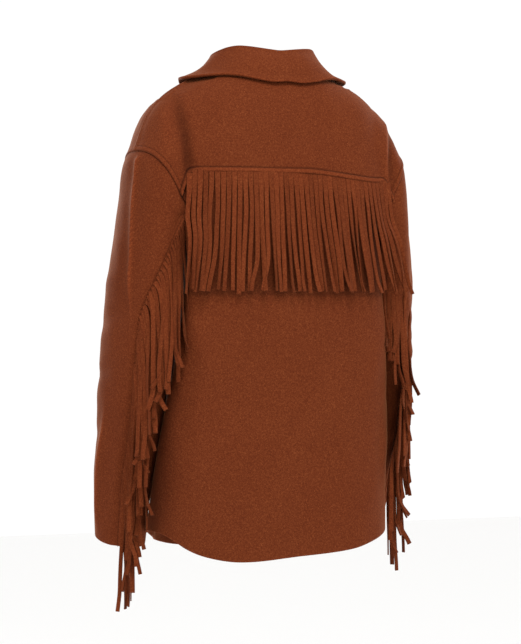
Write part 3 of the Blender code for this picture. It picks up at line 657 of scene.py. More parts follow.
# Catmull-Rom reading of a grid at fractional rows or columns
def resample(grid, at, axis):
    points = np.moveaxis(grid, axis, 0)
    points = np.concatenate([[2 * points[0] - points[1]], points, [2 * points[-1] - points[-2]]])
    cell = np.clip(np.floor(at).astype(int), 0, len(points) - 4)
    t = (at - cell).reshape((-1,) + (1,) * (points.ndim - 1))
    a, b, c, d = (points[cell + k] for k in range(4))
    made = b + 0.5 * t * (c - a + t * (2 * a - 5 * b + 4 * c - d + t * (3 * (b - c) + d - a)))
    return np.moveaxis(made, 0, axis)


# fractional places along a coarse side, close together in its first and last cell
def stationsOf(count):
    edge = np.concatenate([
        np.linspace(0, fine["edgeShare"], fine["edgeSteps"])[:-1],
        np.linspace(fine["edgeShare"], 1, fine["innerSteps"] + 1)[:-1],
    ])
    middle = np.arange(1, count - 1, 1.0 / fine["steps"])[: (count - 2) * fine["steps"]]
    return np.concatenate([edge, middle, count - edge[::-1]])


# points drawn on to a form, except on their border
def settled(points, form):
    rows, columns = points.shape[:2]
    r = np.minimum(np.arange(rows), np.arange(rows)[::-1])[:, None]
    c = np.minimum(np.arange(columns), np.arange(columns)[::-1])[None, :]
    weight = smooth(0, fine["edgeSteps"] + fine["innerSteps"], np.minimum(r, c))[..., None]
    for _ in range(fine["rounds"]):
        slope = gradientOf(points, form)
        steep = np.maximum(np.sum(slope * slope, axis=-1), 0.3)
        step = np.clip(form(points) / steep, -fine["furthest"], fine["furthest"])[..., None]
        points = points - slope * step * weight
    return points


# distance of every point of a grid from its four sides, measured along the cloth
def edgeDistances(grid):
    across = np.linalg.norm(np.diff(grid, axis=1), axis=-1)
    along = np.linalg.norm(np.diff(grid, axis=0), axis=-1)
    left = np.concatenate([np.zeros((grid.shape[0], 1)), np.cumsum(across, axis=1)], axis=1)
    bottom = np.concatenate([np.zeros((1, grid.shape[1])), np.cumsum(along, axis=0)])
    return {"left": left, "right": left[:, -1:] - left, "bottom": bottom, "top": bottom[-1:] - bottom}


def gridNormals(grid, form):
    normal = unit(np.cross(np.gradient(grid, axis=1), np.gradient(grid, axis=0)))
    return normal * np.sign(np.sum(normal * normalsOf(grid, form), axis=-1, keepdims=True))


def hump(distance, width):
    return np.exp(-(distance / width) ** 2)


# gentle unevenness: a few sine waves in fixed random directions
def waves(points, seed, size, amount, count=9):
    draw = np.random.default_rng(seed)
    total = np.zeros(points.shape[:-1])
    for _ in range(count):
        way = unit(draw.normal(size=3) * (1.0, 1.0, 0.55))
        along = points @ way * 2 * math.pi / (size * draw.uniform(0.7, 1.5))
        total += np.sin(along + draw.uniform(0, 6.28))
    return total * amount / math.sqrt(count)


# sewn edges: a welt (height, fades from, fades to), then humps of height and of tone, lighter above zero,
# each (amount, distance from the edge, width). The tone humps are painted shade in the grooves, under lapping
# edges and along joins, and painted highlights on welts and free edges
noWelt = (0.0, 0.0, 1.0)
seamKinds = {
    # lapped over its neighbour and topstitched
    "over": {"welt": (0.0036, 0.0060, 0.0115),
             "height": ((-0.0022, 0.0078, 0.0014), (-0.0012, 0.0, 0.0009)),
             "tone": ((0.22, 0.0038, 0.0020), (-0.55, 0.0082, 0.0013), (-0.45, 0.0, 0.0011))},
    # the neighbour laps over it
    "under": {"welt": noWelt, "height": ((-0.0016, 0.0, 0.0026),), "tone": ((-0.60, 0.0, 0.0030),)},
    # pressed towards its neighbour
    "turned": {"welt": noWelt, "height": ((-0.0010, 0.0, 0.0020),), "tone": ((-0.26, 0.0, 0.0018),)},
    # pressed open, with a line of stitching beside the seam
    "stitched": {"welt": (0.0012, 0.0055, 0.0120),
                 "height": ((-0.0008, 0.0075, 0.0012), (-0.0010, 0.0, 0.0012)),
                 "tone": ((0.10, 0.0040, 0.0022), (-0.12, 0.0078, 0.0012), (-0.20, 0.0, 0.0013))},
    # edge to edge with its neighbour
    "butted": {"welt": noWelt, "height": ((0.0005, 0.003, 0.003), (-0.0009, 0.0, 0.0011)),
               "tone": ((-0.18, 0.0, 0.0013),)},
    # a free edge, with a painted highlight along it
    "hem": {"welt": noWelt, "height": ((-0.0002, 0.0, 0.0010),), "tone": ((0.30, 0.0, 0.0012),)},
}


# sum of humps at distances from an edge
def humps(distance, rows, start=0.0):
    return sum((amount * hump(distance - at, width) for amount, at, width in rows), start)


def seamRelief(distance, kind):
    height, fadeFrom, fadeTo = seamKinds[kind]["welt"]
    return humps(distance, seamKinds[kind]["height"], height * (1 - smooth(fadeFrom, fadeTo, distance)))


def seamTone(distance, kind):
    return humps(distance, seamKinds[kind]["tone"])


# border of a grid and its inner side, walked once round, with a soft middle between them
def rimRing(outer, inner, bulges):
    rows, columns = outer.shape[:2]
    index = [(0, c) for c in range(columns)] + [(r, columns - 1) for r in range(1, rows)]
    index += [(rows - 1, c) for c in range(columns - 2, -1, -1)]
    index += [(r, 0) for r in range(rows - 2, 0, -1)]
    r, c = np.array(index).T
    inwardR, inwardC = np.clip(r, 1, rows - 2), np.clip(c, 1, columns - 2)
    out = unit(outer[r, c] - outer[inwardR, inwardC])
    bulge = np.where(r == 0, bulges["bottom"], np.where(r == rows - 1, bulges["top"],
                     np.where(c == 0, bulges["left"], bulges["right"])))
    middle = (outer[r, c] + inner[r, c]) / 2 + out * bulge[:, None]
    return r * columns + c, middle


def shellMesh(name, outer, inner, bulges, flip, tone):
    rows, columns = outer.shape[:2]
    count = rows * columns
    r, c = np.meshgrid(np.arange(rows - 1), np.arange(columns - 1), indexing="ij")
    a = (r * columns + c).ravel()
    top = np.stack([a, a + 1, a + columns + 1, a + columns], axis=1)
    border, middle = rimRing(outer, inner, bulges)
    ring = np.arange(len(border)) + 2 * count
    after = np.roll(np.arange(len(border)), -1)
    rimA = np.stack([border, ring, ring[after], border[after]], axis=1)
    rimB = np.stack([ring, border + count, border[after] + count, ring[after]], axis=1)
    faces = np.concatenate([top, top[:, ::-1] + count, rimA, rimB])
    if flip:
        faces = faces[:, ::-1]
    points = np.concatenate([outer.reshape(-1, 3), inner.reshape(-1, 3), middle])
    mesh = bpy.data.meshes.new(name)
    mesh.vertices.add(len(points))
    mesh.vertices.foreach_set("co", points.astype(np.float32).ravel())
    mesh.loops.add(faces.size)
    mesh.loops.foreach_set("vertex_index", faces.astype(np.int32).ravel())
    mesh.polygons.add(len(faces))
    mesh.polygons.foreach_set("loop_start", np.arange(0, faces.size, 4, dtype=np.int32))
    mesh.update(calc_edges=True)
    mesh.shade_smooth()
    # the tone, with its painted shade and highlights, goes on the outer face, none on the inner, half on the
    # rim
    flat = tone.ravel()
    held = mesh.attributes.new("tone", "FLOAT", "POINT")
    held.data.foreach_set("value", np.concatenate([flat, flat * 0, flat[border] * 0.5]).astype(np.float32))
    return mesh


def areaOf(grid):
    a, b, c = grid[:-1, :-1], grid[1:, :-1], grid[:-1, 1:]
    return float(np.linalg.norm(np.cross(b - a, c - a), axis=-1).sum())


sheets = {}


def addPiece(name, mesh, material, replaces):
    piece = bpy.data.objects.new(name, mesh)
    scene.collection.objects.link(piece)
    mesh.materials.clear()
    mesh.materials.append(material)
    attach(piece, "root")
    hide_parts(*replaces)
    return piece


# border points moved in by half the seam gap
def drawnIn(points):
    whole = slice(None)
    for edge, inner in (((0, whole), (1, whole)), ((-1, whole), (-2, whole)),
                        ((whole, 0), (whole, 1)), ((whole, -1), (whole, -2))):
        points[edge] += unit(points[inner] - points[edge]) * cloth["seamGap"] / 2
    return points


# one cloth piece: fine grid, relief, then a wall with soft edges. side mirrors it to the wearer's right
def addCloth(name, node, grid, form, seams, relief, flip, side=None):
    at = [stationsOf(n - 1) for n in grid.shape[:2]]
    points = settled(resample(resample(grid, at[0], 0), at[1], 1), form)
    normal = gridNormals(points, form)
    far = edgeDistances(points)
    soft, tone = relief(points, far, at)
    # painted shade in the seam grooves and painted highlights on welts and free edges, from the seam kinds
    tone = tone + sum(seamTone(far[where], kind) for where, kind in seams.items())
    height = soft + sum(seamRelief(far[where], kind) for where, kind in seams.items())
    points = drawnIn(points)
    outer = points + normal * height[..., None]
    inner = points + normal * (soft - cloth["wall"])[..., None]
    if seams.get("bottom") == "over":
        height, fadeFrom, fadeTo = cloth["lapLift"]
        inner = inner + normal * (height * (1 - smooth(fadeFrom, fadeTo, far["bottom"])))[..., None]
    if side is not None:
        outer, inner = outer * side, inner * side
    bulges = {where: cloth["edgeBulge"] if seams.get(where) == "over" else 0.0 for where in far}
    piece = addPiece(name, shellMesh(name, outer, inner, bulges, flip, tone), clothWool, (node,))
    sheets[name] = (piece, areaOf(points))
    print(f"{name}: {len(piece.data.polygons)} faces, {sheets[name][1]:.4f} m2")
    return outer, normal if side is None else normal * side, far


# cloth pieces
creases = {"forearm": 0.0062, "body": 0.0012, "bodySize": 0.13, "fine": 0.00035, "fineSize": 0.045}
# long creases of a sleeve: the way round it (turn, drift with height, sway), the ridge, and humps beside and
# on it, each (amount, distance across, width). They fade at both ends between two heights. The tone humps are
# a painted highlight along each ridge and painted shade beside the upper one
longCreases = (
    # pressed, from the shoulder down the outer back
    {"turn": 15.0, "drift": -112.0, "from": -0.120, "sway": 1.2, "depth": 0.0048, "width": 0.0065,
     "power": 1.3, "hollow": ((-0.12, -0.017, 0.010),), "tone": ((0.90, 0.0, 0.0020), (-0.10, -0.022, 0.018)),
     "low": (-0.37, -0.27), "high": (-0.103, -0.125)},
    # lower down, toward the cuff
    {"turn": 2.0, "drift": 60.0, "from": -0.59, "sway": 0.0, "depth": 0.0048, "width": 0.010,
     "power": 1.5, "hollow": ((-0.4, 0.024, 0.016),), "tone": ((0.45, 0.0, 0.0030),),
     "low": (-0.675, -0.61), "high": (-0.46, -0.53)},
)
# folds given one by one: start, end, width, depth
backFolds = (
    ((0.165, 0.09, -0.30), (0.120, 0.13, -0.47), 0.016, 0.0024),
    ((0.150, 0.10, -0.36), (0.170, 0.09, -0.56), 0.013, -0.0020),
    ((-0.160, 0.09, -0.33), (-0.110, 0.13, -0.50), 0.017, 0.0022),
    ((-0.140, 0.11, -0.47), (-0.155, 0.10, -0.64), 0.014, -0.0018),
    ((0.04, 0.13, -0.40), (0.00, 0.13, -0.66), 0.024, -0.0016),
    ((0.09, 0.13, -0.46), (0.11, 0.13, -0.67), 0.020, 0.0018),
    ((-0.06, 0.13, -0.42), (-0.085, 0.13, -0.67), 0.022, 0.0018),
)
yokeFolds = (
    ((-0.160, 0.07, -0.040), (-0.145, 0.12, -0.140), 0.012, 0.0018),
    ((0.06, 0.08, -0.012), (0.02, 0.12, -0.09), 0.014, -0.0010),
    ((-0.05, 0.08, -0.012), (-0.09, 0.12, -0.10), 0.016, 0.0012),
)
frontFolds = (
    ((0.130, -0.10, -0.16), (0.060, -0.12, -0.36), 0.016, -0.0022),
    ((0.150, -0.09, -0.21), (0.090, -0.12, -0.45), 0.015, 0.0022),
    ((0.110, -0.11, -0.44), (0.130, -0.11, -0.63), 0.018, -0.0020),
)
# folds of the yoke in the camera's view: start, end, width, depth, tone; the tone is painted shade in the
# valleys and a painted highlight along the right ridge's rim
yokeSeenFolds = (
    ((0.124, -0.030), (0.101, -0.112), 0.0085, -0.0060, -0.34),
    ((0.108, -0.078), (0.096, -0.170), 0.0075, -0.0060, -0.42),
    ((0.142, -0.040), (0.128, -0.140), 0.0110, 0.0026, 0.06),
    ((-0.189, -0.055), (-0.192, -0.178), 0.0060, -0.0048, -0.34),
    ((-0.183, -0.050), (-0.1855, -0.172), 0.0050, 0.0026, 0.0),
    ((-0.1835, -0.050), (-0.1860, -0.172), 0.0022, 0.0, 0.60),
)
# drag folds round the elbow: height, tilt, direction in degrees, depth, width
sleeveFolds = (
    (-0.350, 0.35, 0.0, -0.0026, 0.012), (-0.392, -0.25, 20.0, 0.0026, 0.013),
    (-0.428, 0.30, -12.0, -0.0030, 0.011), (-0.470, -0.20, 12.0, 0.0024, 0.013),
    (-0.296, 0.22, -18.0, 0.0018, 0.013), (-0.520, 0.25, -35.0, -0.0022, 0.012),
)


def fineTurn(turn, at):
    return resample(resample(turn[..., None], at[0], 0), at[1], 1)[..., 0]


# low waves that die out at sewn edges, and finer ones that run nearly to them
def unevenness(points, far, seed, amount=1.0):
    edge = np.minimum(np.minimum(far["left"], far["right"]), far["top"])
    low = waves(points, seed, creases["bodySize"], creases["body"] * amount)
    small = waves(points, seed + 1, creases["fineSize"], creases["fine"] * amount)
    return low * smooth(0.004, 0.05, edge) + small * smooth(0.003, 0.02, edge)


# a soft fold along the straight line from start to end, fading at both ends
def trough(points, start, end, width, depth):
    start, end = np.array(start), np.array(end)
    way = end - start
    share = np.clip(((points - start) @ way) / (way @ way), 0, 1)
    near = np.linalg.norm(points - start - share[..., None] * way, axis=-1)
    faded = np.sin(math.pi * np.clip(share, 0.02, 0.98))
    return depth * hump(near, width * (0.7 + 0.6 * share)) * faded


# a relief with rows of folds added to it
def withFolds(total, points, rows, fade=1.0):
    for start, end, width, depth in rows:
        total = total + trough(points, start, end, width, depth) * fade
    return total


def backRelief(points, far, at):
    total = withFolds(unevenness(points, far, 11), points, backFolds)
    # painted shadow: a darker band on the back just under the lower end of the fringe, on the back side only
    z, x = points[..., 2], np.abs(points[..., 0])
    return total, -0.36 * smooth(-0.324, -0.314, z) * smooth(0.180, 0.160, x) * (points[..., 1] > 0)


# across and up, as the camera sees them
def seen(points):
    turn = math.radians(180 - camera["azimuth"])
    across = points[..., 0] * math.cos(turn) - points[..., 1] * math.sin(turn)
    return np.stack([across, points[..., 2]], axis=-1)


def yokeRelief(points, far, at):
    total, tone, flat = unevenness(points, far, 21, 0.8), 0.0, seen(points)
    fade = smooth(0.0, 0.012, far["bottom"])
    for start, end, width, depth, shade in yokeSeenFolds:
        total = total + trough(flat, start, end, width, depth) * fade
        # painted shade in the fold valleys, painted highlight along the right ridge's rim
        tone = tone + trough(flat, start, end, width, shade)
    return withFolds(total, points, yokeFolds, fade), tone


def frontRelief(points, far):
    total = withFolds(unevenness(points, far, 31), points, frontFolds)
    return total * smooth(lap["reach"], lap["sinkStart"] + 0.03, points[..., 0])


def underLap(points, far, at):
    sink = smooth(lap["sinkStart"], lap["reach"], points[..., 0]) * (cloth["wall"] + cloth["lapGap"])
    return frontRelief(points, far) - sink, sink * 0.0


def overLap(points, far, at):
    total = frontRelief(points, far)
    return total, total * 0.0


def sleeveRelief(seed, turn, left):
    def relief(points, far, at):
        angle = fineTurn(turn, at)
        z = points[..., 2]
        radius = column(sleeveRows, 4, z)
        total, tone = unevenness(points, far, seed), 0.0
        for crease in longCreases:
            across = angle - crease["turn"] - crease["drift"] * (z - crease["from"])
            across = np.radians(across - crease["sway"] * np.sin(z * 45.0)) * radius
            fade = smooth(*crease["low"], z) * smooth(*crease["high"], z)
            ridge = np.exp(-np.abs(across / crease["width"]) ** crease["power"])
            total = total + crease["depth"] * fade * humps(across, crease["hollow"], ridge)
            # painted highlight along each crease's ridge, painted shade beside the upper one
            tone = tone + fade * humps(across, crease["tone"])
        # slanting drag folds at the elbow, on the outer and front sides
        for height, tilt, lean, depth, width in sleeveFolds:
            centre = height * (1.0 if left else 1.015)
            off = z - centre - tilt * np.radians(angle - lean) * 0.05
            total = total + depth * hump(off, width) * hump(angle - lean, 42.0) * (0.8 if left else 1.1)
        # fuller over the outside of the forearm
        total = total + creases["forearm"] * smooth(-0.22, -0.42, z) * hump(angle + 5.0, 70.0)
        quiet = smooth(0.003, 0.018, np.minimum(np.minimum(far["left"], far["right"]), far["top"]))
        return total * quiet, tone * quiet
    return relief


# rows from the neck seam over the soft roll to the falling edge
def collarGrid():
    angles = np.linspace(-collarShape["endAngle"], collarShape["endAngle"], collarShape["stations"])
    turn = np.abs(angles)
    seam = neckLine(turn)
    seam[:, 0] *= np.where(angles < 0, -1.0, 1.0)
    outward = unit((seam - np.array([0.0, neck["centreY"], 0.0])) * (1, 1, 0))
    stand, lean, reach = (column(collarRows, k, turn)[:, None] for k in (1, 2, 3))
    base = seam + normalsOf(seam, shoulders) * 0.0005 + up * 0.0012 - outward * 0.0006
    top = base - outward * lean + up * (stand - collarShape["roll"])
    edge = base + outward * reach
    edge = seenFromAbove(edge[:, 0], edge[:, 1])
    edge = edge + normalsOf(edge, shoulders) * (cloth["wall"] + 2 * cloth["layGap"])
    rows = [base, base - outward * lean * 0.75 + up * stand * 0.5]
    for tilt in np.radians([180, 120, 60, 0]):
        across = collarShape["roll"] * (1 + math.cos(tilt))
        rows.append(top + outward * across + up * collarShape["roll"] * math.sin(tilt))
    rolled = rows[-1]
    full = 1 - 2 * smooth(20, 70, turn)[:, None]
    for share in (0.3, 0.6, 0.82, 1.0):
        belly = math.sin(math.pi * share) * (outward * 0.0035 + up * 0.004) * full
        row = rolled * (1 - share) + edge * share + belly
        beneath = seenFromAbove(row[:, 0], row[:, 1])
        level = np.clip(normalsOf(beneath, shoulders)[:, 2], 0.35, 1.0)
        clear = beneath[:, 2] + (cloth["wall"] + 3 * cloth["layGap"]) / level
        row[:, 2] = np.maximum(row[:, 2], clear)
        rows.append(row)
    return np.stack(rows)


def addCollar():
    grid = collarGrid()
    at = [stationsOf(n - 1) for n in grid.shape[:2]]
    points = resample(resample(grid, at[0], 0), at[1], 1)
    far = edgeDistances(points)
    outside = unit(np.cross(np.gradient(points, axis=1), np.gradient(points, axis=0)))
    if np.sum(outside[-2] * up) < 0:
        outside = -outside
    along = far["bottom"] / far["bottom"][-1:]
    fall = smooth(0.45, 1.0, along)
    soft = waves(points, 41, 0.075, 0.0011) * smooth(0.2, 0.6, along) * smooth(0.0, 0.006, far["bottom"])
    soft = np.abs(soft) * 0.4 + soft * 0.6 * (1 - fall) + 0.0006 * fall
    outer = points + outside * (soft + 0.0012 * fall * (1 - smooth(0.0, 0.012, far["top"])))[..., None]
    inner = points + outside * (soft * (1 - 0.6 * fall) - cloth["wall"])[..., None]
    # painted highlight along the collar's falling edge
    tone = 0.16 * hump(far["top"], 0.0020)
    mesh = shellMesh("collar.cloth", outer, inner, dict.fromkeys(far, 0.0009), True, tone)
    piece = addPiece("collar.cloth", mesh, clothWool, ("collar",))
    sheets["collar.cloth"] = (piece, areaOf(points))
    return outer, outside, far


# turn a closed mesh right side out by the sign of its volume
def outwardFlip(piece):
    mesh = piece.data
    mesh.calc_loop_triangles()
    corners = np.zeros(len(mesh.loop_triangles) * 3, np.int32)
    mesh.loop_triangles.foreach_get("vertices", corners)
    points = np.zeros(len(mesh.vertices) * 3, np.float32)
    mesh.vertices.foreach_get("co", points)
    a, b, c = points.reshape(-1, 3)[corners].reshape(-1, 3, 3).transpose(1, 0, 2)
    volume = float(np.sum(a * np.cross(b, c)) / 6)
    if volume < 0:
        mesh.flip_normals()
    return abs(volume)


surfaces = {}
print("building the cloth")
surfaces["yoke"] = addCloth("yoke.cloth", "back_yoke", yokeGrid(), bodyForm,
                            {"bottom": "over", "left": "stitched", "right": "stitched", "top": "butted"},
                            yokeRelief, True)
surfaces["back"] = addCloth("back.cloth", "back_panel", backGrid(), bodyForm,
                            {"bottom": "hem", "left": "butted", "right": "butted", "top": "under"},
                            backRelief, True)
front = frontGrid()
frontSeams = {"bottom": "hem", "left": "butted", "right": "hem", "top": "butted"}
surfaces["frontLeft"] = addCloth("frontLeft.cloth", "front_left", front, bodyForm, frontSeams, underLap, True)
surfaces["frontRight"] = addCloth("frontRight.cloth", "front_right", front, bodyForm, frontSeams, overLap,
                                  False, side=mirror)
(topGrid, topTurn), (underGrid, underTurn) = sleeveGrids()
for side, label, seed in ((None, "left", 51), (mirror, "right", 71)):
    for part, grid, turn, leftEdge, rightEdge in (
        ("top", topGrid, topTurn, "butted", "stitched"),
        ("under", underGrid, underTurn, "stitched", "butted"),
    ):
        surfaces[label + part] = addCloth(
            f"sleeve_{label}_{part}.cloth", f"sleeve_{label}_{part}", grid, sleeveForm,
            {"bottom": "hem", "left": leftEdge, "right": rightEdge, "top": "turned"},
            sleeveRelief(seed, turn, side is None), side is not None, side=side)
surfaces["collar"] = addCollar()
for name, (piece, area) in sheets.items():
    volume = outwardFlip(piece)
    print(name, "volume", round(volume * 1e6, 1), "cm3")


# geometry node trees
def newTree(name, inputs):
    tree = bpy.data.node_groups.new(name, "GeometryNodeTree")
    tree.interface.new_socket("Geometry", in_out="INPUT", socket_type="NodeSocketGeometry")
    for label, kind in inputs:
        tree.interface.new_socket(label, in_out="INPUT", socket_type=kind)
    tree.interface.new_socket("Geometry", in_out="OUTPUT", socket_type="NodeSocketGeometry")
    return tree, addNode(tree, "NodeGroupInput"), addNode(tree, "NodeGroupOutput")


def closeTree(tree, source, geometry, out):
    real = addNode(tree, "GeometryNodeRealizeInstances", Geometry=geometry)
    made = addNode(tree, "GeometryNodeSetMaterial", Geometry=real.outputs[0],
                   Material=source.outputs["Material"])
    tree.links.new(made.outputs[0], out.inputs[0])


def named(tree, name, kind):
    made = addNode(tree, "GeometryNodeInputNamedAttribute", {"data_type": kind}, Name=name)
    return made.outputs["Attribute"]


# flat strips with rounded edges, swept along paths that say which way they face
def stripTree():
    tree, source, out = newTree("strips", (
        ("Width", "NodeSocketFloat"), ("Thickness", "NodeSocketFloat"), ("Corner", "NodeSocketFloat"),
        ("Material", "NodeSocketMaterial")))
    path = addNode(tree, "GeometryNodeMeshToCurve", Mesh=source.outputs["Geometry"])
    turned = addNode(tree, "GeometryNodeSetCurveNormal", {"mode": "FREE"}, Curve=path.outputs[0],
                     Normal=named(tree, "facing", "FLOAT_VECTOR"))
    outline = addNode(tree, "GeometryNodeCurvePrimitiveQuadrilateral", {"mode": "RECTANGLE"},
                      Width=source.outputs["Thickness"], Height=source.outputs["Width"])
    rounded = addNode(tree, "GeometryNodeFilletCurve", {"mode": "POLY"}, Curve=outline.outputs[0],
                      Count=strips["cornerSteps"], Radius=source.outputs["Corner"])
    swept = addNode(tree, "GeometryNodeCurveToMesh", Curve=turned.outputs[0],
                    Profile_Curve=rounded.outputs[0], Scale=named(tree, "size", "FLOAT"), Fill_Caps=True)
    closeTree(tree, source, swept.outputs[0], out)
    return tree


# short thread stitches at an even pitch along lines that say which way they face
def stitchTree():
    tree, source, out = newTree("stitches", (
        ("Pitch", "NodeSocketFloat"), ("Length", "NodeSocketFloat"), ("Thread", "NodeSocketFloat"),
        ("Material", "NodeSocketMaterial")))
    path = addNode(tree, "GeometryNodeMeshToCurve", Mesh=source.outputs["Geometry"])
    kept = addNode(tree, "GeometryNodeStoreNamedAttribute", {"data_type": "FLOAT_VECTOR", "domain": "POINT"},
                   Geometry=path.outputs[0], Name="facing", Value=named(tree, "facing", "FLOAT_VECTOR"))
    even = addNode(tree, "GeometryNodeResampleCurve", {"mode": "LENGTH"}, Curve=kept.outputs[0],
                   Length=source.outputs["Pitch"])
    thread = addNode(tree, "GeometryNodeMeshCylinder", Vertices=6, Side_Segments=1,
                     Radius=source.outputs["Thread"], Depth=source.outputs["Length"])
    turn = addNode(tree, "FunctionNodeAxesToRotation", {"primary_axis": "Z", "secondary_axis": "X"},
                   Primary_Axis=addNode(tree, "GeometryNodeInputTangent").outputs[0],
                   Secondary_Axis=named(tree, "facing", "FLOAT_VECTOR"))
    sewn = addNode(tree, "GeometryNodeInstanceOnPoints", Points=even.outputs[0],
                   Instance=thread.outputs["Mesh"], Rotation=turn.outputs[0])
    closeTree(tree, source, sewn.outputs[0], out)
    return tree


# cut sides of the strips darker than their faces as painted shade, and each strip a little different
def shadeStrips(mesh, count):
    normal, facing = np.zeros(len(mesh.vertices) * 3), np.zeros(len(mesh.vertices) * 3)
    mesh.vertex_normals.foreach_get("vector", normal)
    mesh.attributes["facing"].data.foreach_get("vector", facing)
    turned = np.sum(unit(facing.reshape(-1, 3)) * normal.reshape(-1, 3), axis=1)
    each = np.random.default_rng(4).uniform(*strips["toneSpread"], count)
    tone = strips["paintedSideShade"] * (1 - smooth(0.35, 0.95, turned))
    tone = tone + np.repeat(each, len(mesh.vertices) // count)
    mesh.attributes.new("tone", "FLOAT", "POINT").data.foreach_set("value", tone.astype(np.float32))


# run a tree over paths of (points, facings, sizes) and keep the result as a plain mesh
def grow(name, tree, paths, values, replaces=()):
    points = np.concatenate([p[0] for p in paths])
    mesh = bpy.data.meshes.new(name)
    edges, start = [], 0
    for path in paths:
        edges += [(start + k, start + k + 1) for k in range(len(path[0]) - 1)]
        start += len(path[0])
    mesh.from_pydata(points.tolist(), edges, [])
    for label, kind, field, k in (("facing", "FLOAT_VECTOR", "vector", 1), ("size", "FLOAT", "value", 2)):
        held = mesh.attributes.new(label, kind, "POINT")
        held.data.foreach_set(field, np.concatenate([p[k] for p in paths]).astype(np.float32).ravel())
    guide = bpy.data.objects.new(name + ".guide", mesh)
    scene.collection.objects.link(guide)
    modifier = guide.modifiers.new("grow", "NODES")
    modifier.node_group = tree
    for item in tree.interface.items_tree:
        if item.in_out == "INPUT" and item.name in values:
            modifier[item.identifier] = values[item.name]
    graph = bpy.context.evaluated_depsgraph_get()
    made = bpy.data.meshes.new_from_object(guide.evaluated_get(graph), depsgraph=graph)
    made.name = name
    bpy.data.objects.remove(guide)
    made.shade_smooth()
    made.set_sharp_from_angle(angle=math.radians(50))
    if values["Material"] == fringeWool:
        shadeStrips(made, len(paths))
    print(f"{name}: {len(made.polygons)} faces")
    return addPiece(name, made, values["Material"], replaces)


probe = {"above": 0.04, "reach": 0.06}


def treeOf(*pieces):
    return [BVHTree.FromPolygons([v.co.copy() for v in piece.data.vertices],
                                 [tuple(p.vertices) for p in piece.data.polygons]) for piece in pieces]


# points lifted along a direction until they clear what lies beneath
def laidOver(points, outward, trees, gap):
    gap = np.broadcast_to(gap, points.shape[:-1]).ravel()
    for place, way, least in zip(points.reshape(-1, 3), outward.reshape(-1, 3), gap):
        for tree in trees:
            hit = tree.ray_cast(Vector(place + probe["above"] * way), Vector(-way), probe["reach"])[0]
            if hit is not None:
                place += way * max(0.0, least - float(np.dot(place - np.array(hit), way)))
    return points


# paths with sudden steps taken out, along their length
def eased(points, rounds=3):
    for _ in range(rounds):
        points[:, 1:-1] = 0.5 * points[:, 1:-1] + 0.25 * (points[:, 2:] + points[:, :-2])
    return points


# fringe
# strip sizes, with a painted shade for the cut sides of the strips
strips = {
    "length": 0.176, "width": 0.0074, "thickness": 0.0024, "corner": 0.0007, "cornerSteps": 3, "points": 32,
    "paintedSideShade": -0.27, "toneSpread": (-0.13, 0.09),
}
# a pair is the range that each strip draws its own value from
backFringe = {
    "seed": 3, "count": 42, "halfWidth": 0.1575, "end": -0.313, "tuck": 0.0035, "steepTuck": 0.005,
    "leftFlare": 0.0115, "rightFlare": 0.033, "driftSize": 0.06, "drift": 0.0034, "lift": 0.0022,
    "upperShare": 0.42, "upper": (0.7, 1.6), "lower": (0, 0.35), "hookedShare": 0.35, "hook": (0.002, 0.0080),
    "turnedShare": 0.34, "turned": (0.5, 1.25), "width": (0.90, 1.03),
}
sleeveFringe = {
    "count": 60, "first": -0.206, "rootScatter": 0.0008, "length": (-0.09, 0.05), "size": 0.86,
    "sweep": 0.0085, "sweepShare": (0.35, 1.25), "bend": (0.008, 0.016), "rootInset": 0.004, "spread": 0.0060,
    "swing": 0.0016, "middleAside": (0.0, 0.014), "lowSpread": 0.0052, "inwardShare": (0.3, 1.9),
    "rest": (0.0, 0.0035), "standShare": (0.5, 1.15), "hookedShare": 0.45, "hook": (0.003, 0.012),
    "endShare": 0.6, "endSpread": 0.010, "twist": 0.5, "turnedShare": 0.22, "turned": 1.3,
    "width": (0.85, 1.12),
}
sleeveSides = {
    "left": {"seed": 8, "last": -0.600, "stand": 0.0120, "inward": 0.0060, "way": np.ones(3)},
    "right": {"seed": 9, "last": -0.545, "stand": 0.0045, "inward": 0.0270, "way": mirror},
}
stripNodes, stitchNodes = stripTree(), stitchTree()
stripValues = {"Width": strips["width"], "Thickness": strips["thickness"], "Corner": strips["corner"],
               "Material": fringeWool}


# facings turned about the path by an angle, in radians
def turnedFacing(path, facing, twist):
    along = unit(np.gradient(path, axis=1))
    facing = unit(facing - along * np.sum(facing * along, axis=-1, keepdims=True))
    across = np.cross(along, facing)
    return facing * np.cos(twist)[..., None] + across * np.sin(twist)[..., None]


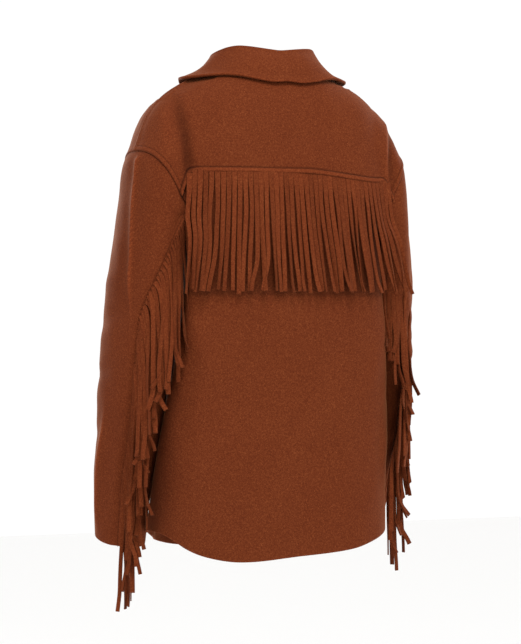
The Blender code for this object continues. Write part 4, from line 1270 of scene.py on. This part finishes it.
def sleeveFringePaths(sleeve, trees):
    draw = np.random.default_rng(sleeve["seed"])
    n, m = sleeveFringe["count"], strips["points"]

    def drawn(key):
        return draw.uniform(*sleeveFringe[key], n)[:, None]

    root = np.linspace(sleeveFringe["first"], sleeve["last"], n)
    root = root + draw.normal(0, sleeveFringe["rootScatter"], n)
    base = roundSleeve(elbowTurn(root), root, sleeveForm)
    halfWidth, halfDepth = sleeveSection(root)[2:]
    turn = np.radians(elbowTurn(root))
    out = unit(np.stack([np.cos(turn) / halfWidth, np.sin(turn) / halfDepth, 0 * turn], axis=-1))
    back = -np.cross(out, up)
    s = np.linspace(0, 1, m)[None, :] * (strips["length"] * (1 + drawn("length")))
    share = s / strips["length"]
    # sideways: the sweep off the seam, then spread, swing and lean
    sweep = sleeveFringe["sweep"] * drawn("sweepShare") * (1 - 0.8 * smooth(-0.32, -0.38, root))[:, None]
    bend = drawn("bend")
    aside = sweep * (1 - np.exp(-s / bend)) - sleeveFringe["rootInset"]
    tight = 1 - 0.6 * smooth(-0.46, -0.57, root)
    aside += (draw.normal(0, sleeveFringe["spread"], n) * tight)[:, None] * smooth(0.05, 1.0, share)
    swing = draw.normal(0, sleeveFringe["swing"], n)[:, None]
    swing = swing * np.sin(share * draw.uniform(3, 8, n)[:, None] + draw.uniform(0, 6, n)[:, None])
    aside += swing * share
    middle = smooth(-0.26, -0.32, root) * smooth(-0.50, -0.42, root)
    aside += drawn("middleAside") * middle[:, None] * share
    low = draw.normal(0, sleeveFringe["lowSpread"], n) * smooth(-0.36, -0.46, root) * tight
    aside += low[:, None] * smooth(0.05, 0.8, share)
    inward = sleeve["inward"] * drawn("inwardShare") * smooth(-0.28, -0.46, root)[:, None]
    aside += inward * smooth(0.0, 0.5, share)
    fall = s - 0.75 * sweep * (1 - np.exp(-s / bend))
    # off the sleeve: each strip stands a little further out, and some curl at the end
    stand = drawn("rest")
    stand = stand + sleeve["stand"] * share ** 0.8 * drawn("standShare")
    stand = 0.0014 + stand * (1 - np.exp(-s / 0.02)) + 0.0030 * hump(s - 0.016, 0.010)
    hooked = (draw.random(n) < sleeveFringe["hookedShare"])[:, None] * drawn("hook")
    stand += hooked * smooth(0.82, 1.0, share) ** 2
    ends = draw.normal(0, sleeveFringe["endSpread"], n) * tight * (draw.random(n) < sleeveFringe["endShare"])
    aside += ends[:, None] * smooth(0.74, 1.0, share) ** 2
    path = base[:, None] + back[:, None] * aside[..., None]
    path = path + out[:, None] * stand[..., None] - up * fall[..., None]
    outward = np.broadcast_to(out[:, None], path.shape).copy()
    path, outward = path * sleeve["way"], outward * sleeve["way"]
    path = eased(laidOver(path, outward, trees, 0.0013 + 0.0016 * smooth(0, 0.1, share)))
    twist = draw.normal(0, sleeveFringe["twist"], n)[:, None] * smooth(0.1, 0.9, share)
    turned = draw.random(n) < sleeveFringe["turnedShare"]
    turned = turned * draw.choice([-sleeveFringe["turned"], sleeveFringe["turned"]], n)
    twist += turned[:, None] * smooth(0.2, 0.7, share)
    facing = turnedFacing(path, outward, twist)
    size = sleeveFringe["size"] * (drawn("width") + 0.10 * smooth(0.25, 0.0, share))
    return list(zip(path, facing, size))


def backFringePaths(trees):
    draw = np.random.default_rng(backFringe["seed"])
    n, m = backFringe["count"], strips["points"]

    def drawn(key):
        return draw.uniform(*backFringe[key], n)

    x0 = np.linspace(backFringe["halfWidth"], -backFringe["halfWidth"], n)
    across = np.linspace(0, 1, n)
    length = yokeDrop(x0) - backFringe["end"] + draw.normal(0, 0.0013, n)
    steep = backFringe["steepTuck"] * (np.abs(x0) > yoke["dipFrom"])
    tucked = (backFringe["tuck"] + steep)[:, None]
    s = np.linspace(0, 1, m)[None, :] * (length + backFringe["tuck"] + steep)[:, None] - tucked
    share = np.clip(s / length[:, None], 0, 1)
    # sideways: flare, drift, a slight swing and loose ends
    flare = backFringe["leftFlare"] * (1 - across) ** 3 - backFringe["rightFlare"] * across ** 2.2
    along = np.stack([x0, 0 * x0, 0 * x0], axis=-1)
    drift = waves(along, backFringe["seed"], backFringe["driftSize"], backFringe["drift"])
    drift = drift + draw.normal(0, 0.0011, n)
    x = x0[:, None] + (flare + drift)[:, None] * share ** 1.25
    swing = draw.normal(0, 0.0008, n)[:, None] * np.sin(share * draw.uniform(4, 7, n)[:, None])
    x += swing * smooth(0.05, 0.3, share)
    ends = draw.normal(0, 0.0050, n) * (draw.random(n) < 0.6)
    x += ends[:, None] * smooth(0.62, 1.0, share) ** 2
    z = yokeDrop(x0)[:, None] - s
    # off the cloth: some strips lie over their neighbours, and some curl at the end
    upper = draw.random(n) < backFringe["upperShare"]
    layer = backFringe["lift"] * np.where(upper, drawn("upper"), drawn("lower"))
    base = seenLevel(x, z, True, underFringe)
    outward = normalsOf(base, underFringe)
    lift = 0.0012 + 0.0010 * smooth(0.0, 0.10, share) + 0.0056 * smooth(0.40, 1.0, share)
    lift = lift + layer[:, None] * smooth(0.10, 0.5, share)
    hooked = (draw.random(n) < backFringe["hookedShare"]) * drawn("hook")
    lift = lift + hooked[:, None] * smooth(0.88, 1.0, share) ** 2
    path = laidOver(base + outward * lift[..., None], outward, trees, lift)
    path = eased(path, 4)
    twist = draw.normal(0, 0.16, n)[:, None] * smooth(0.05, 0.6, share)
    turned = draw.random(n) < backFringe["turnedShare"]
    turned = turned * draw.choice([-1, 1], n) * drawn("turned")
    twist += turned[:, None] * smooth(0.15, 0.95, share)
    facing = turnedFacing(path, outward, twist)
    size = (1.12 - 0.17 * smooth(0.03, 0.22, share)) * drawn("width")[:, None]
    size = size * (1 - 0.16 * (draw.random(n) < 0.35)[:, None] * smooth(0.6, 1.0, share))
    return list(zip(path, facing, size))


print("hanging the fringe")
sleeveCloth = {label: [sheets[f"sleeve_{label}_{part}.cloth"][0] for part in ("top", "under")]
               for label in sleeveSides}
sleeveFringes = {}
for label, sleeve in sleeveSides.items():
    paths = sleeveFringePaths(sleeve, treeOf(*sleeveCloth[label]))
    sleeveFringes[label] = grow(f"sleeve_{label}.fringe", stripNodes, paths, stripValues,
                                (f"sleeve_fringe_{label}",))
beneath = treeOf(sheets["back.cloth"][0], *sleeveCloth["left"], *sleeveCloth["right"],
                 *sleeveFringes.values())
backStrips = grow("back.fringe", stripNodes, backFringePaths(beneath), stripValues, ("back_fringe",))


# stitches
stitch = {
    "pitch": 0.0042, "length": 0.0030, "thread": 0.00026, "lift": 0.00008,
    "fromLap": 0.0078, "fromSeam": 0.0075,
}


# line on the cloth at a distance from one side, with the way it faces
def lineAt(surface, where, distance):
    outer, normal, far = surface
    away = far[where]
    if where in ("bottom", "top"):
        outer, normal, away = outer.transpose(1, 0, 2), normal.transpose(1, 0, 2), away.T
    if where in ("right", "top"):
        outer, normal, away = outer[:, ::-1], normal[:, ::-1], away[:, ::-1]
    beyond = np.clip(np.argmax(away > distance, axis=1), 1, away.shape[1] - 1)
    line = np.arange(len(away))
    low, high = away[line, beyond - 1], away[line, beyond]
    t = ((distance - low) / np.maximum(high - low, 1e-9))[:, None]
    point = outer[line, beyond - 1] * (1 - t) + outer[line, beyond] * t
    facing = unit(normal[line, beyond - 1] * (1 - t) + normal[line, beyond] * t)
    return point + facing * stitch["lift"], facing


def stitchLines(*lines):
    return [(point, facing, np.ones(len(point))) for point, facing in lines]


seamLines = {
    "yoke": stitchLines(lineAt(surfaces["yoke"], "bottom", stitch["fromLap"]),
                        *(lineAt(surfaces["yoke"], where, stitch["fromSeam"])
                          for where in ("left", "right"))),
    "sleeves": stitchLines(*(lineAt(surfaces[label + "top"], "right", stitch["fromSeam"])
                             for label in sleeveSides)),
}
stitchValues = {"Pitch": stitch["pitch"], "Length": stitch["length"], "Thread": stitch["thread"],
                "Material": threadMaterial}
print("topstitching")
for label, lines in seamLines.items():
    grow(f"{label}.stitches", stitchNodes, lines, stitchValues)


# buttons and buttonholes, on the front
buttons = {
    "rim": 0.0105, "dish": 0.0078, "thickness": 0.0034, "hole": 0.0010, "holeAt": 0.0021, "turns": 40,
    "thread": 0.0004,
}
buttonhole = {
    "halfLength": 0.013, "halfHeight": 0.0012, "lift": 0.0002, "points": 12,
    "pitch": 0.0009, "length": 0.0016, "thread": 0.00035,
}


# a turned horn button with a dished middle and four sewing holes, facing up the z axis
def buttonMesh():
    half, rim, dish = buttons["thickness"] / 2, buttons["rim"], buttons["dish"]
    profile = (
        (0.0, -half), (rim * 0.90, -half), (rim * 0.985, -half * 0.55), (rim, 0.0),
        (rim * 0.985, half * 0.55), (rim * 0.93, half * 0.93), (rim * 0.86, half), (dish, half * 0.86),
        (dish * 0.93, half * 0.42), (dish * 0.80, half * 0.20), (0.0, half * 0.10),
    )
    made = bmesh.new()
    corners = [made.verts.new((r, 0.0, z)) for r, z in profile]
    edges = [made.edges.new(pair) for pair in zip(corners, corners[1:])]
    bmesh.ops.spin(made, geom=corners + edges, cent=(0, 0, 0), axis=(0, 0, 1), angle=2 * math.pi,
                   steps=buttons["turns"], use_merge=True)
    bmesh.ops.remove_doubles(made, verts=made.verts, dist=1e-6)
    bmesh.ops.recalc_face_normals(made, faces=made.faces)
    mesh = bpy.data.meshes.new("button")
    made.to_mesh(mesh)
    made.free()
    return mesh


# two crossed runs of thread and the dark rims of the holes they go through
def threadMesh():
    made = bmesh.new()
    top, thread, hole = buttons["thickness"] * 0.08, buttons["thread"], buttons["hole"]

    def rod(segments, radius, depth, matrix):
        bmesh.ops.create_cone(made, cap_ends=True, segments=segments, radius1=radius, radius2=radius,
                              depth=depth, matrix=matrix)

    for tilt in (math.pi / 4, -math.pi / 4):
        turn = Matrix.Rotation(tilt, 4, "Z")
        for shift in (-thread, thread):
            run = turn @ Matrix.Translation((0, shift, top + thread))
            rod(8, thread, buttons["holeAt"] * 2.4, run @ Matrix.Rotation(math.pi / 2, 4, "Y"))
        for way in (-1, 1):
            rod(16, hole, 0.0006, turn @ Matrix.Translation((way * buttons["holeAt"], 0, top - 0.0002)))
    mesh = bpy.data.meshes.new("thread")
    made.to_mesh(mesh)
    made.free()
    return mesh


def placed(mesh, matrix, name, material, replaces=()):
    mesh = mesh.copy()
    mesh.transform(matrix)
    mesh.shade_smooth()
    mesh.set_sharp_from_angle(angle=math.radians(38))
    return addPiece(name, mesh, material, replaces)


print("fastening the buttons")
holeLines = []
discMesh, crossMesh = buttonMesh(), threadMesh()
for name in sorted(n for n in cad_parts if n.startswith("button_")):
    low, high = (Vector(p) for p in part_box(name))
    centre = (low + high) / 2
    normal = Vector(normalsOf(seenLevel(0.0, np.array([centre.z]), False), bodyForm)[0])
    matrix = Matrix.Translation(centre) @ normal.to_track_quat("Z", "Y").to_matrix().to_4x4()
    placed(discMesh, matrix, name + ".horn", hornMaterial, (name,))
    placed(crossMesh, matrix, name + ".thread", threadMaterial)
    for height in (-buttonhole["halfHeight"], buttonhole["halfHeight"]):
        x = np.linspace(-buttonhole["halfLength"], buttonhole["halfLength"], buttonhole["points"])
        line = seenLevel(x, centre.z + height + 0 * x, False)
        facing = normalsOf(line, bodyForm)
        holeLines += stitchLines((line + facing * buttonhole["lift"], facing))
grow("buttonholes", stitchNodes, holeLines, {
    "Pitch": buttonhole["pitch"], "Length": buttonhole["length"], "Thread": buttonhole["thread"],
    "Material": threadMaterial})


# a side length for each piece, from its area
print("stating the cut")
for name, (piece, area) in sheets.items():
    side = 1.15 * area ** 0.5
